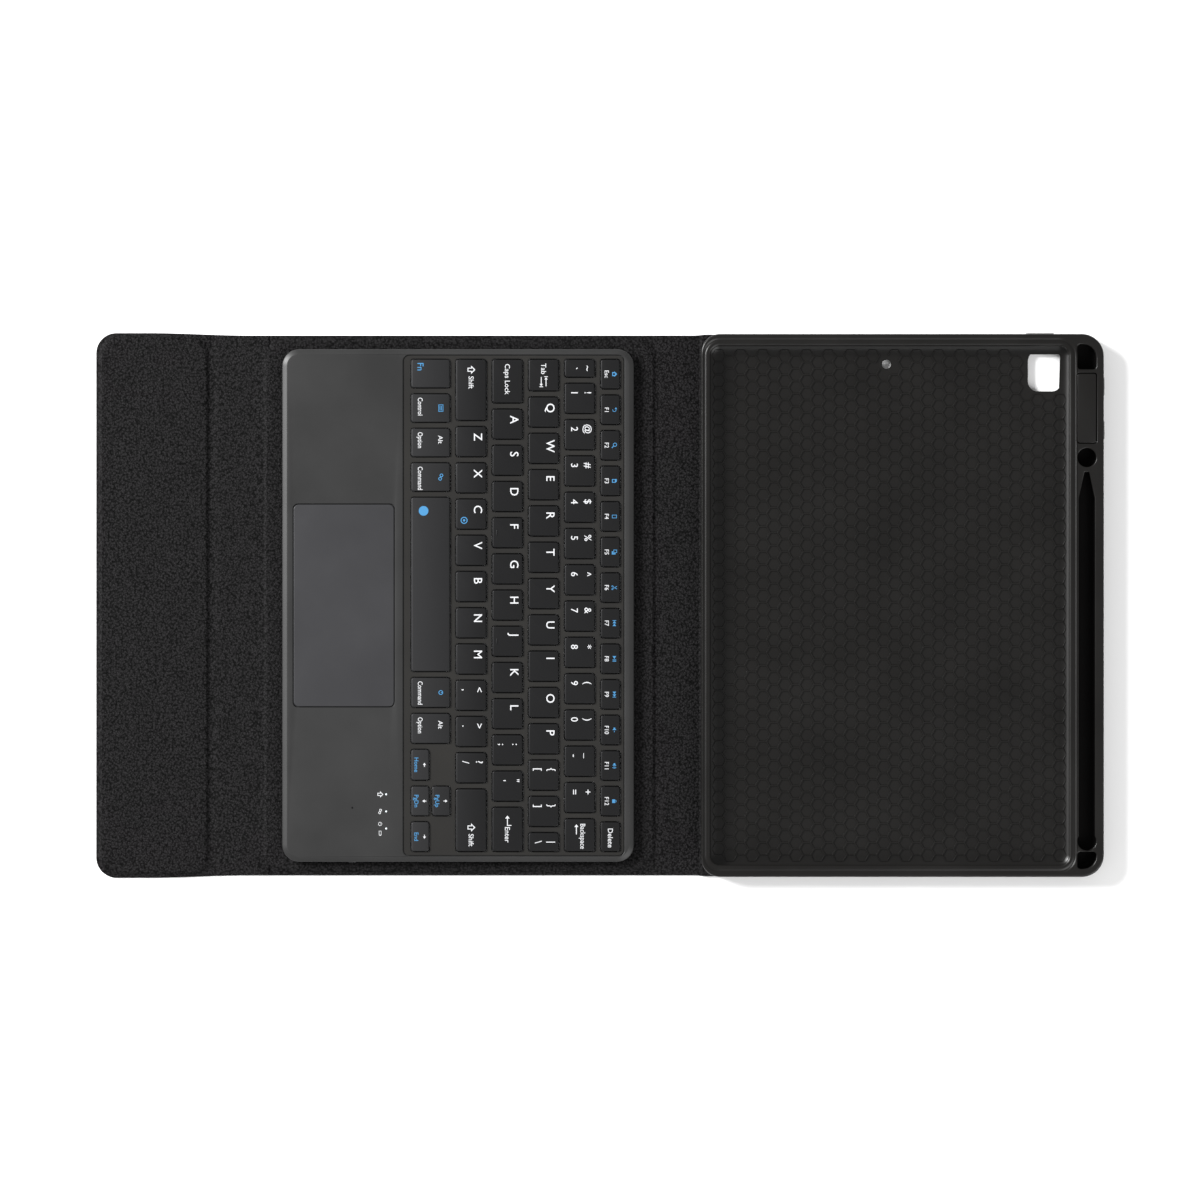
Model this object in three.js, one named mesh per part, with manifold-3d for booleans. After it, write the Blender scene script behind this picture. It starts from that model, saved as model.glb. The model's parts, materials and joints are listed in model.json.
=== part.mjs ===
// A folding keyboard case for a 10.2 inch class tablet, lying open and flat.
// From the typist's side outwards: closure flap, closure strip, front panel with the lift-off
// keyboard, spine, then the back panel with the soft tray that holds the tablet and a pencil.
// Millimetres. X runs to the typist's right, Y away from the typist, Z up.
import * as THREE from 'three';
import { mergeVertices } from 'three/addons/utils/BufferGeometryUtils.js';
import Module from 'manifold-3d';

const wasm = await Module();
wasm.setup();

// ---------------------------------------------------------------- driving dimensions
const tablet = { width: 250.6, depth: 174.1, thickness: 7.5 };
const tabletFit = 0.2;
const skinThickness = 0.7;
const boardThickness = 1.0;
const liningThickness = 0.5;
const touchGap = 0.3; // between pieces that meet but must not share a face
const foldGap = 0.15; // from a fold's axis to the end of each panel
const curveSegments = 3; // an arc gets twice as many straight pieces

const tray = {
  endWall: 3.75, nearWall: 2.5, dividerWall: 2.75, outerWall: 4.25,
  floor: 1.2, lipHeight: 0.8, lipOverhang: 2, headroom: 0.1,
  inset: 1.3, nearRadius: 9, farRadius: 10.5, cavityRadius: 6.5,
};
const camera = { fromSide: 4.2, fromFar: 4.9, width: 19.2, depth: 16.2, radius: 4.7 };
const microphone = { fromSide: 10.5, beforeMiddle: 1.2, diameter: 4.4 };
const chargeNotch = { length: 13, bottom: 1.7, height: 4.6 };
const speakerSlot = { length: 36.5, fromMiddle: 29.5, bottom: 3, height: 1.4 };
const headphoneHole = { fromNear: 19.1, diameter: 6 };
const powerPad = { fromFar: 15.6, length: 13.4, height: 4.6, bottom: 1.6, travel: 0.5, proud: 0.4 };
const pencil = {
  slotWidth: 7.7, tipWidth: 2.3, taper: 11.4, endBulge: 0.65, floor: 2.2, shallowFloor: 4,
  tipFromSide: 65.75, shallowLength: 26.6, endFromSide: 17.15,
};
const capHole = { fromSide: 58.85, diameter: 9, floor: 2 };
const rocker = {
  fromSide: 18.85, length: 33, depth: 9.1, clearance: 0.5, button: 9, buttonFromEnd: 1.5, sunk: 0.4,
};
const rockerButtonHeights = { bottom: 3.4, top: 7.4 };
const cornerPocket = {
  topFromSide: 5, topLength: 11.8, bottomFromSide: 3.9, bottomLength: 8, depth: 9, floor: 2,
  radius: 6, smallRadius: 1.5,
};

const flapLength = 55;
const flapOverhang = 1.2; // how far the flap is wider than the front panel, each side
const frontInset = 0.45; // how far the front panel is narrower than the tray, each side
const flapRadius = 9.7;
const boardRadius = 8;
const boardSideMargin = 2.8;
const frontBoard = { nearMargin: 6.2, farMargin: 4 };
const flapBoard = { freeMargin: 2.6, foldMargin: 2.4 };
const standPanelLength = 84;
const closedGap = 0.5; // between the key tops and the tray rim when the case is closed
const flapGap = 0.3; // between the closed flap and the back panel
const stripReach = 1.4; // between the tray's far edge and the closure strip when closed

const keyboard = {
  height: 5.6, nearMargin: 7.6, farMargin: 9, sideMargin: 3.9, radius: 8, wall: 1.5,
  footProud: 0.3, floor: 0.7, deckThickness: 1.4, wellDepth: 0.5, keyProud: 1,
  partingHeight: 1.8, palmRest: 57.5, wellSide: 2.6, wellFar: 4.5, wellRadius: 3,
  rimBevel: 0.8,
};
const keys = {
  nearMargin: 4, farMargin: 2.1, sideMargin: 2.3, gap: 2.95, rowGap: 2.8, radius: 1.1,
  travel: 1, clearance: 0.3, carrier: 0.4, carrierGap: 0.2, flange: 0.7, carrierInset: 2,
};
const trackpad = {
  width: 96.4, nearMargin: 5.4, farMargin: 4.2, clearance: 0.25, radius: 2.4,
  thickness: 1.8, flange: 1, flangeThickness: 0.4, travel: 0.4, switchSize: 6, switchGap: 0.1,
};
const circuit = { plate: 0.4, membrane: 0.2, domes: 0.3, inset: 1.5 };
const battery = { width: 60, depth: 38, thickness: 2.4 };
const board = { width: 59, beyondLens: 2.4, thickness: 0.8, near: 8 };
const chargePort = { width: 7.5, length: 7.8, height: 2.4, near: 16, lift: 0.1 };
const slider = {
  near: 31.7, length: 3.3, height: 1.2, travel: 2.2, proud: 0.6, clearance: 0.2, lift: 0.3, heel: 1.2,
  heelSpare: 0.7,
};
const indicator = { diameter: 1, clearance: 0.15, fromFar: 7.9, spacing: 8.15, count: 3, fromSide: 32.1 };
const foot = { diameter: 8, recess: 0.3, inset: 10 };
const magnet = { length: 30, width: 4, thickness: 1.6, fromCentre: 80, near: 2.6 };
const catchPlate = { length: 230, width: 14, thickness: 0.8, margin: 1 };
const flapMagnet = { length: 150, width: 10, thickness: 0.8, margin: 6 };

// ---------------------------------------------------------------- sizes worked out from them
const cavityWidth = tablet.width + 2 * tabletFit;
const cavityDepth = tablet.depth + 2 * tabletFit;
const trayWidth = cavityWidth + 2 * tray.endWall;
const trayDepth = tray.nearWall + cavityDepth + tray.dividerWall + pencil.slotWidth + tray.outerWall;
const trayHeight = tray.floor + tablet.thickness + tray.headroom + tray.lipHeight;
const frontWidth = trayWidth - 2 * frontInset;
const flapWidth = frontWidth + 2 * flapOverhang;
const panelThickness = skinThickness + boardThickness + liningThickness;
const foldHeight = skinThickness + liningThickness;

const spineLength = 2 * panelThickness + keyboard.height + trayHeight - 2 * foldHeight + closedGap;
const stripLength = spineLength + panelThickness + flapGap;
const backLength = tray.inset + trayDepth;
const frontLength = backLength + stripReach;

// Fold lines, measured from the free edge of the flap.
const flapFold = flapLength;
const stripFold = flapFold + stripLength;
const spineFold = stripFold + frontLength;
const backFold = spineFold + spineLength;
const standFold = backFold + standPanelLength;
const caseLength = backFold + backLength;

const trayNear = backFold + tray.inset;
const cavityNear = trayNear + tray.nearWall;
const cavityFar = cavityNear + cavityDepth;
const pencilLine = cavityFar + tray.dividerWall + pencil.slotWidth / 2;
const pencilEndRadius = pencil.slotWidth / 2 + pencil.endBulge;

const frontBoardNear = stripFold + frontBoard.nearMargin;
const frontBoardFar = spineFold - frontBoard.farMargin;
const frontBoardWidth = frontWidth - 2 * boardSideMargin;
const keyboardNear = frontBoardNear + keyboard.nearMargin;
const keyboardDepth = frontBoardFar - keyboard.farMargin - keyboardNear;
const keyboardWidth = frontBoardWidth - 2 * keyboard.sideMargin;

// ---------------------------------------------------------------- colours and finishes
const finish = {
  leather: { color: 0x1c1b1d, roughness: 0.62, metalness: 0 },
  lining: { color: 0x242325, roughness: 0.7, metalness: 0 },
  board: { color: 0x8d8a80, roughness: 0.9, metalness: 0 },
  softPlastic: { color: 0x201f20, roughness: 0.55, metalness: 0 },
  deck: { color: 0x434446, roughness: 0.45, metalness: 0 },
  keyCap: { color: 0x232325, roughness: 0.5, metalness: 0 },
  touchPlate: { color: 0x4c4e51, roughness: 0.3, metalness: 0 },
  rubber: { color: 0x161616, roughness: 0.85, metalness: 0 },
  steel: { color: 0xa8a9ab, roughness: 0.35, metalness: 1 },
  magnet: { color: 0x8f9196, roughness: 0.3, metalness: 1 },
  circuitBoard: { color: 0x1d5a34, roughness: 0.5, metalness: 0 },
  film: { color: 0xb9c4c9, roughness: 0.4, metalness: 0 },
  silicone: { color: 0xd8dadb, roughness: 0.6, metalness: 0 },
  foil: { color: 0xc2c4c6, roughness: 0.4, metalness: 0.8 },
  lens: { color: 0xdfe6ea, roughness: 0.15, metalness: 0 },
};

// ---------------------------------------------------------------- solids
function solid(geometry) {
  geometry.deleteAttribute('normal');
  geometry.deleteAttribute('uv');
  const merged = mergeVertices(geometry, 1e-4);
  return new wasm.Manifold(new wasm.Mesh({
    numProp: 3,
    vertProperties: new Float32Array(merged.attributes.position.array),
    triVerts: new Uint32Array(merged.index.array),
  }));
}

function extrude(shape, bottom, top, segments = curveSegments) {
  const geometry = new THREE.ExtrudeGeometry(shape, {
    depth: top - bottom, bevelEnabled: false, curveSegments: segments,
  });
  geometry.translate(0, 0, bottom);
  return solid(geometry);
}

// A rounded rectangle. Radii run near left, near right, far right, far left.
function outline(left, right, near, far, radii) {
  const [nearLeft, nearRight, farRight, farLeft] = Array.isArray(radii) ? radii : Array(4).fill(radii);
  const shape = new THREE.Shape();
  shape.moveTo(left + nearLeft, near);
  shape.absarc(right - nearRight, near + nearRight, nearRight, -Math.PI / 2, 0);
  shape.absarc(right - farRight, far - farRight, farRight, 0, Math.PI / 2);
  shape.absarc(left + farLeft, far - farLeft, farLeft, Math.PI / 2, Math.PI);
  shape.absarc(left + nearLeft, near + nearLeft, nearLeft, Math.PI, 1.5 * Math.PI);
  return shape;
}

function slab(left, right, near, far, bottom, top, radii, segments) {
  return extrude(outline(left, right, near, far, radii), bottom, top, segments);
}

function block(left, right, near, far, bottom, top) {
  const geometry = new THREE.BoxGeometry(right - left, far - near, top - bottom);
  geometry.translate((left + right) / 2, (near + far) / 2, (bottom + top) / 2);
  return solid(geometry);
}

function disc(x, y, diameter, bottom, top, sides = 16) {
  const geometry = new THREE.CylinderGeometry(diameter / 2, diameter / 2, top - bottom, sides);
  geometry.rotateX(Math.PI / 2);
  geometry.translate(x, y, (bottom + top) / 2);
  return solid(geometry);
}

function rodAlongX(left, right, y, z, diameter) {
  const geometry = new THREE.CylinderGeometry(diameter / 2, diameter / 2, right - left, 12);
  geometry.rotateZ(Math.PI / 2);
  geometry.translate((left + right) / 2, y, z);
  return solid(geometry);
}

function subtractAll(body, cuts) {
  return cuts.reduce((rest, cut) => rest.subtract(cut), body);
}

function addAll(bodies) {
  return bodies.reduce((whole, body) => whole.add(body));
}

function piece(group, name, body, look) {
  const mesh = body.getMesh();
  const geometry = new THREE.BufferGeometry();
  geometry.setAttribute('position', new THREE.BufferAttribute(mesh.vertProperties, 3));
  geometry.setIndex(new THREE.BufferAttribute(mesh.triVerts, 1));
  geometry.computeVertexNormals();
  const node = new THREE.Mesh(geometry, new THREE.MeshStandardMaterial(finish[look]));
  node.name = name;
  group.add(node);
}

// ---------------------------------------------------------------- cover panels
const past = 1; // how far a cutting tool runs past the face it cuts
const skinTop = skinThickness;
const boardTop = skinThickness + boardThickness;

// A panel's lining: a thin sheet on the skin that rises over the board, with a pocket for it.
function raisedLining(sheet, raised, pocket) {
  return addAll([sheet, raised]).subtract(pocket);
}

function flapPieces(group) {
  const half = flapWidth / 2;
  const free = 0;
  const end = flapFold - foldGap;
  const radii = [flapRadius, flapRadius, 1, 1];
  const inner = half - boardSideMargin;
  const boardNear = free + flapBoard.freeMargin;
  const boardFar = flapFold - flapBoard.foldMargin;
  const magnetLeft = -flapMagnet.length / 2;
  const magnetNear = boardNear + flapMagnet.margin;
  const pocket = slab(-inner, inner, boardNear, boardFar, skinTop - past, boardTop, boardRadius);
  const sheet = slab(-half, half, free, end, skinTop, foldHeight, radii);
  const wrap = liningThickness;
  const raised = slab(
    -inner - wrap, inner + wrap, boardNear - wrap, boardFar + wrap, skinTop, panelThickness,
    boardRadius + wrap);
  piece(group, 'flap_outer_skin', slab(-half, half, free, end, 0, skinTop, radii), 'leather');
  const window = slab(
    magnetLeft - touchGap, -magnetLeft + touchGap, magnetNear - touchGap,
    magnetNear + flapMagnet.width + touchGap, skinTop - past, boardTop + past, 1);
  piece(group, 'flap_board',
    slab(-inner, inner, boardNear, boardFar, skinTop, boardTop, boardRadius).subtract(window), 'board');
  piece(group, 'flap_closure_magnet',
    block(magnetLeft, -magnetLeft, magnetNear, magnetNear + flapMagnet.width, skinTop,
      skinTop + flapMagnet.thickness), 'magnet');
  piece(group, 'flap_lining', raisedLining(sheet, raised, pocket), 'lining');
}

// A flexible run between two fold lines: outer skin and lining, with no board.
function flexiblePieces(group, name, near, far, halfNear, halfFar) {
  const plan = new THREE.Shape();
  plan.moveTo(-halfNear, near + foldGap);
  plan.lineTo(halfNear, near + foldGap);
  plan.lineTo(halfFar, far - foldGap);
  plan.lineTo(-halfFar, far - foldGap);
  plan.closePath();
  piece(group, `${name}_outer_skin`, extrude(plan, 0, skinTop), 'leather');
  piece(group, `${name}_lining`, extrude(plan, skinTop, foldHeight), 'lining');
}

function frontPieces(group) {
  const half = frontWidth / 2;
  const inner = frontBoardWidth / 2;
  const near = stripFold + foldGap;
  const far = spineFold - foldGap;
  const wrap = liningThickness;
  const plateNear = keyboardNear + catchPlate.margin;
  const plateHalf = Math.min(catchPlate.length, keyboardWidth) / 2;
  const window = slab(
    -plateHalf - touchGap, plateHalf + touchGap, plateNear - touchGap,
    plateNear + catchPlate.width + touchGap, skinTop - past, boardTop + past, 1);
  const panel = (grow, bottom, top) => slab(
    -inner - grow, inner + grow, frontBoardNear - grow, frontBoardFar + grow, bottom, top,
    boardRadius + grow);
  piece(group, 'front_outer_skin', block(-half, half, near, far, 0, skinTop), 'leather');
  piece(group, 'front_board', panel(0, skinTop, boardTop).subtract(window), 'board');
  piece(group, 'keyboard_catch_plate',
    block(-plateHalf, plateHalf, plateNear, plateNear + catchPlate.width, skinTop,
      skinTop + catchPlate.thickness), 'steel');
  piece(group, 'front_lining', raisedLining(
    block(-half, half, near, far, skinTop, foldHeight),
    panel(wrap, skinTop, panelThickness), panel(0, skinTop - past, boardTop)), 'lining');
}

// The stand panel is the part of the back that swings away from the tray to prop the tablet up.
function standPieces(group) {
  const half = frontWidth / 2;
  const inner = half - boardSideMargin;
  const near = backFold + foldGap;
  const far = standFold - foldGap;
  const boardNear = trayNear + touchGap;
  const boardFar = far - touchGap;
  piece(group, 'stand_outer_skin', block(-half, half, near, far, 0, skinTop), 'leather');
  piece(group, 'stand_board', block(-inner, inner, boardNear, boardFar, skinTop, boardTop), 'board');
  piece(group, 'stand_lining', raisedLining(
    block(-half, half, near, far, skinTop, foldHeight),
    block(-half, half, trayNear, far, foldHeight, panelThickness),
    block(-inner, inner, boardNear, boardFar, skinTop - past, boardTop)), 'lining');
}

function cameraCut(grow, bottom, top) {
  const left = -cavityWidth / 2 + camera.fromSide;
  const far = cavityFar - camera.fromFar;
  return slab(left - grow, left + camera.width + grow, far - camera.depth - grow, far + grow,
    bottom, top, camera.radius + grow);
}

function microphoneCut(grow, bottom, top) {
  const y = (cavityNear + cavityFar) / 2 - microphone.beforeMiddle;
  return disc(-cavityWidth / 2 + microphone.fromSide, y, microphone.diameter + 2 * grow, bottom, top);
}

function backPieces(group) {
  const half = trayWidth / 2;
  const inner = half - boardSideMargin;
  const near = standFold + foldGap;
  const far = caseLength;
  const radii = [0.5, 0.5, tray.farRadius, tray.farRadius];
  const boardRadii = [0.5, 0.5, tray.farRadius - boardSideMargin, tray.farRadius - boardSideMargin];
  const plateHalf = flapMagnet.length / 2 + touchGap;
  // With the case closed the flap magnet lies this far in from the far edge.
  const magnetReach = flapLength - flapBoard.freeMargin - flapMagnet.margin - flapMagnet.width;
  const plateFar = far + stripReach - magnetReach + catchPlate.margin;
  const plateNear = plateFar - flapMagnet.width - 2 * catchPlate.margin;
  const cuts = (grow, bottom, top) => [cameraCut(grow, bottom, top), microphoneCut(grow, bottom, top)];
  const window = slab(-plateHalf - touchGap, plateHalf + touchGap, plateNear - touchGap,
    plateFar + touchGap, skinTop - past, panelThickness + past, 1);
  const skin = slab(-half, half, near, far, 0, skinTop, radii);
  piece(group, 'back_outer_skin', subtractAll(skin, cuts(0, -past, skinTop + past)), 'leather');
  piece(group, 'back_board', subtractAll(
    slab(-inner, inner, near + touchGap, far - boardSideMargin, skinTop, panelThickness, boardRadii),
    [window, ...cuts(touchGap, skinTop - past, panelThickness + past)]), 'board');
  piece(group, 'flap_catch_plate',
    block(-plateHalf, plateHalf, plateNear, plateFar, skinTop, skinTop + catchPlate.thickness), 'steel');
}

// ---------------------------------------------------------------- tablet tray
const trayBottom = panelThickness;
const trayTop = trayBottom + trayHeight;
const cavityFloor = trayBottom + tray.floor;
const lipBottom = trayTop - tray.lipHeight;
const sideLeft = -trayWidth / 2;
const sideRight = trayWidth / 2;

function pencilPlan() {
  const tip = sideLeft + pencil.tipFromSide;
  const end = sideRight - pencil.endFromSide;
  const half = pencil.slotWidth / 2;
  const spread = Math.asin(half / pencilEndRadius);
  const plan = new THREE.Shape();
  plan.moveTo(tip, pencilLine - pencil.tipWidth / 2);
  plan.lineTo(tip + pencil.taper, pencilLine - half);
  plan.lineTo(end - pencilEndRadius * Math.cos(spread), pencilLine - half);
  plan.absarc(end, pencilLine, pencilEndRadius, Math.PI + spread, 3 * Math.PI - spread);
  plan.lineTo(tip + pencil.taper, pencilLine + half);
  plan.lineTo(tip, pencilLine + pencil.tipWidth / 2);
  plan.closePath();
  return plan;
}

function pencilCut() {
  const plan = pencilPlan();
  const deepStart = sideLeft + pencil.tipFromSide + pencil.shallowLength;
  const across = pencilEndRadius + past;
  const keep = block(sideLeft, deepStart, pencilLine - across, pencilLine + across,
    trayBottom, trayBottom + pencil.shallowFloor);
  return extrude(plan, trayBottom + pencil.floor, trayTop + past).subtract(keep);
}

function rockerBounds(grow) {
  const left = sideLeft + rocker.fromSide;
  return [left - grow, left + rocker.length + grow,
    pencilLine - rocker.depth / 2 - grow, pencilLine + rocker.depth / 2 + grow];
}

function rockerButtons(grow, near, far, bottom, top) {
  const [left, right] = rockerBounds(0);
  const starts = [left + rocker.buttonFromEnd, right - rocker.buttonFromEnd - rocker.button];
  return starts.map((start) => block(start - grow, start + rocker.button + grow, near, far, bottom, top));
}

function powerPadBounds(grow) {
  const far = cavityFar - (powerPad.fromFar - powerPad.length / 2);
  const bottom = cavityFloor + powerPad.bottom;
  return [far - powerPad.length - grow, far + grow, bottom - grow, bottom + powerPad.height + grow];
}

function trayPieces(group) {
  const far = caseLength;
  const half = cavityWidth / 2;
  const opening = half - tray.lipOverhang;
  const middle = (cavityNear + cavityFar) / 2;
  const radii = [tray.nearRadius, tray.nearRadius, tray.farRadius, tray.farRadius];
  const lip = tray.lipOverhang;
  const pocketNear = pencilLine - cornerPocket.depth / 2;
  const pocketFar = pencilLine + cornerPocket.depth / 2;
  const pocketFloor = trayBottom + cornerPocket.floor;
  const topLeft = sideLeft + cornerPocket.topFromSide;
  const bottomRight = sideRight - cornerPocket.bottomFromSide;
  const rockerGap = rocker.clearance;
  const small = cornerPocket.smallRadius;
  const [padNear, padFar, padBottom, padTop] = powerPadBounds(touchGap);
  const buttonBottom = trayBottom + rockerButtonHeights.bottom;
  const buttonTop = trayBottom + rockerButtonHeights.top;
  const wallCut = (length, y, bottom, height) => block(
    half - past, sideRight + past, y - length / 2, y + length / 2, cavityFloor + bottom,
    cavityFloor + bottom + height);
  const cuts = [
    slab(-half, half, cavityNear, cavityFar, cavityFloor, lipBottom, tray.cavityRadius),
    slab(-opening, opening, cavityNear + lip, cavityFar - lip, lipBottom - past, trayTop + past,
      tray.cavityRadius - lip),
    cameraCut(0, trayBottom - past, cavityFloor + past),
    microphoneCut(0, trayBottom - past, cavityFloor + past),
    wallCut(chargeNotch.length, middle, chargeNotch.bottom, chargeNotch.height),
    wallCut(speakerSlot.length, middle - speakerSlot.fromMiddle, speakerSlot.bottom, speakerSlot.height),
    wallCut(speakerSlot.length, middle + speakerSlot.fromMiddle, speakerSlot.bottom, speakerSlot.height),
    rodAlongX(sideLeft - past, -half + past, cavityNear + headphoneHole.fromNear,
      cavityFloor + tablet.thickness / 2, headphoneHole.diameter),
    block(sideLeft - past, -half + past, padNear, padFar, padBottom, padTop),
    pencilCut(),
    disc(sideLeft + capHole.fromSide, pencilLine, capHole.diameter, trayBottom + capHole.floor,
      trayTop + past),
    slab(...rockerBounds(rockerGap), trayBottom + tray.floor, trayTop + past, 1.5),
    ...rockerButtons(rockerGap, pencilLine, far + past, buttonBottom - touchGap, trayTop + past),
    slab(topLeft, topLeft + cornerPocket.topLength, pocketNear, pocketFar, pocketFloor, trayTop + past,
      [small, small, small, cornerPocket.radius]),
    slab(bottomRight - cornerPocket.bottomLength, bottomRight, pocketNear, pocketFar, pocketFloor,
      trayTop + past, [small, small, cornerPocket.radius, small]),
  ];
  const body = slab(sideLeft, sideRight, trayNear, far, trayBottom, trayTop, radii);
  piece(group, 'tablet_tray', subtractAll(body, cuts), 'softPlastic');

  const rockerBody = slab(...rockerBounds(0), trayBottom + tray.floor + touchGap, trayTop - rocker.sunk, 1);
  const bumps = rockerButtons(0, pencilLine, far + powerPad.proud, buttonBottom, buttonTop);
  piece(group, 'volume_rocker', addAll([rockerBody, ...bumps]), 'softPlastic');

  const [near, end, bottom, top] = powerPadBounds(0);
  const pad = block(
    sideLeft - powerPad.proud, -half - powerPad.travel - tabletFit, near, end, bottom, top);
  piece(group, 'power_button_pad', pad, 'softPlastic');
}

// ---------------------------------------------------------------- keyboard
const deckTop = keyboard.height - keyboard.keyProud + keyboard.wellDepth;
const wellFloor = keyboard.height - keyboard.keyProud;
const deckBottom = deckTop - keyboard.deckThickness;
const coverFloor = keyboard.footProud + keyboard.floor;
const portBottom = coverFloor + chargePort.lift;
const sliderBottom = keyboard.partingHeight + slider.lift;
const wellHalf = keyboardWidth / 2 - keyboard.wellSide;
const fieldLeft = -wellHalf + keys.sideMargin;
const fieldRight = wellHalf - keys.sideMargin;
const fieldNear = keyboard.palmRest + keys.nearMargin;
const fieldFar = keyboardDepth - keyboard.wellFar - keys.farMargin;

// Rows from the typist outwards: relative depth, and relative widths with the group each key moves in.
const rows = [
  {
    depth: 18.5,
    widths: [[13.5, 'left_modifier_keys', 4], [83, 'space_key'], [14.2, 'right_modifier_keys', 2],
      [14.6, 'left_arrow_key'], [14, 'up_down'], [14.1, 'right_arrow_key']],
  },
  {
    depth: 14.5,
    widths: [[29, 'left_shift_key'], [14.3, 'lower_letter_keys', 10], [29.7, 'right_shift_key']],
  },
  {
    depth: 14.5,
    widths: [[20.7, 'caps_lock_key'], [14.3, 'home_letter_keys', 11], [21, 'enter_key']],
  },
  {
    depth: 14.4,
    widths: [[14.9, 'tab_key'], [14.3, 'upper_letter_keys', 12], [8.9, 'upper_letter_keys']],
  },
  {
    depth: 14.4,
    widths: [[8.4, 'number_keys'], [14.3, 'number_keys', 12], [15.5, 'backspace_key']],
  },
  { depth: 9.2, widths: [[13.7, 'function_keys', 14]] },
];

function keyLayout() {
  const depths = rows.reduce((sum, row) => sum + row.depth, 0);
  const depthScale = (fieldFar - fieldNear - (rows.length - 1) * keys.rowGap) / depths;
  const layout = [];
  let near = fieldNear;
  for (const row of rows) {
    const far = near + row.depth * depthScale;
    const run = row.widths.flatMap(([width, group, count = 1]) => Array(count).fill([width, group]));
    const total = run.reduce((sum, [width]) => sum + width, 0);
    const scale = (fieldRight - fieldLeft - (run.length - 1) * keys.gap) / total;
    let left = fieldLeft;
    for (const [width, group] of run) {
      const right = left + width * scale;
      layout.push({ group, left, right, near, far });
      left = right + keys.gap;
    }
    near = far + keys.rowGap;
  }
  return layout.flatMap(splitArrows);
}

// The arrow keys are half the row's depth: left, down and right at the near side, up behind down.
function splitArrows(key) {
  const halfDepth = (key.far - key.near - keys.gap / 2) / 2;
  if (key.group === 'up_down') {
    return [{ ...key, group: 'down_arrow_key', far: key.near + halfDepth },
      { ...key, group: 'up_arrow_key', near: key.far - halfDepth }];
  }
  return key.group.endsWith('arrow_key') ? [{ ...key, far: key.near + halfDepth }] : [key];
}

function keyPieces(group, layout) {
  const capBottom = deckBottom - keys.carrierGap - keys.carrier;
  for (const name of new Set(layout.map((key) => key.group))) {
    const members = layout.filter((key) => key.group === name);
    const caps = members.map((key) => slab(
      key.left, key.right, key.near, key.far, capBottom, keyboard.height, keys.radius, 1));
    const left = Math.min(...members.map((key) => key.left)) - keys.flange;
    const right = Math.max(...members.map((key) => key.right)) + keys.flange;
    const { near, far } = members[0];
    const carrier = block(left, right, near + keys.carrierInset, far - keys.carrierInset,
      capBottom, capBottom + keys.carrier);
    piece(group, name, addAll([carrier, ...caps]), 'keyCap');
  }
}

function keyOpenings(layout) {
  const grow = keys.clearance;
  return layout.map((key) => block(
    key.left - grow, key.right + grow, key.near - grow, key.far + grow, deckBottom - past, deckTop + past));
}

function sideOpenings() {
  const right = keyboardWidth / 2;
  const portNear = chargePort.near;
  const port = block(right - keyboard.wall - past, right + past, portNear - touchGap,
    portNear + chargePort.width + touchGap, portBottom - touchGap,
    portBottom + chargePort.height + touchGap);
  const gap = slider.clearance;
  const knob = block(right - keyboard.wall - past, right + past, slider.near - gap,
    slider.near + slider.length + slider.travel + gap, keyboard.partingHeight - past,
    sliderBottom + slider.height + gap);
  return { port, knob };
}
function indicatorPlaces() {
  const right = keyboardWidth / 2 - indicator.fromSide;
  return Array.from({ length: indicator.count }, (_, i) => [
    right + i * indicator.spacing, keyboard.palmRest - indicator.fromFar]);
}

function trackpadBounds(grow) {
  const half = trackpad.width / 2;
  return [-half - grow, half + grow, trackpad.nearMargin - grow,
    keyboard.palmRest - trackpad.farMargin + grow];
}

function casePieces(group, layout) {
  const half = keyboardWidth / 2;
  const inside = half - keyboard.wall;
  const innerRadius = keyboard.radius - keyboard.wall;
  const { port, knob } = sideOpenings();
  const shell = (bottom, top) => slab(-half, half, 0, keyboardDepth, bottom, top, keyboard.radius);
  const hollow = (bottom, top) => slab(
    -inside, inside, keyboard.wall, keyboardDepth - keyboard.wall, bottom, top, innerRadius);
  const rim = keyboard.rimBevel;
  const upper = slab(
    -half + rim, half - rim, rim, keyboardDepth - rim, wellFloor, deckTop, keyboard.radius - rim);
  const well = slab(-wellHalf, wellHalf, keyboard.palmRest, keyboardDepth - keyboard.wellFar,
    wellFloor, deckTop + past, keyboard.wellRadius);
  const lensHoles = indicatorPlaces().map(([x, y]) => disc(
    x, y, indicator.diameter + 2 * indicator.clearance, deckBottom - past, deckTop + past, 8));
  const topCase = subtractAll(addAll([shell(keyboard.partingHeight, wellFloor), upper]), [
    hollow(keyboard.partingHeight - past, deckBottom), well, port, knob,
    slab(...trackpadBounds(trackpad.clearance), deckBottom - past, deckTop + past, trackpad.radius, 2),
    ...keyOpenings(layout), ...lensHoles]);
  piece(group, 'keyboard_top_case', topCase, 'deck');

  const footRecesses = footPlaces().map(([x, y]) => disc(
    x, y, foot.diameter + 2 * touchGap, keyboard.footProud - past, keyboard.footProud + foot.recess));
  const bottomCover = subtractAll(shell(keyboard.footProud, keyboard.partingHeight), [
    hollow(coverFloor, keyboard.partingHeight + past), port, ...footRecesses]);
  piece(group, 'keyboard_bottom_cover', bottomCover, 'deck');
  footPlaces().forEach(([x, y], i) => piece(group, `rubber_foot_${i + 1}`,
    disc(x, y, foot.diameter, 0, keyboard.footProud + foot.recess), 'rubber'));
}

function footPlaces() {
  const x = keyboardWidth / 2 - foot.inset;
  const far = keyboardDepth - foot.inset;
  return [[-x, foot.inset], [x, foot.inset], [x, far], [-x, far]];
}

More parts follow.
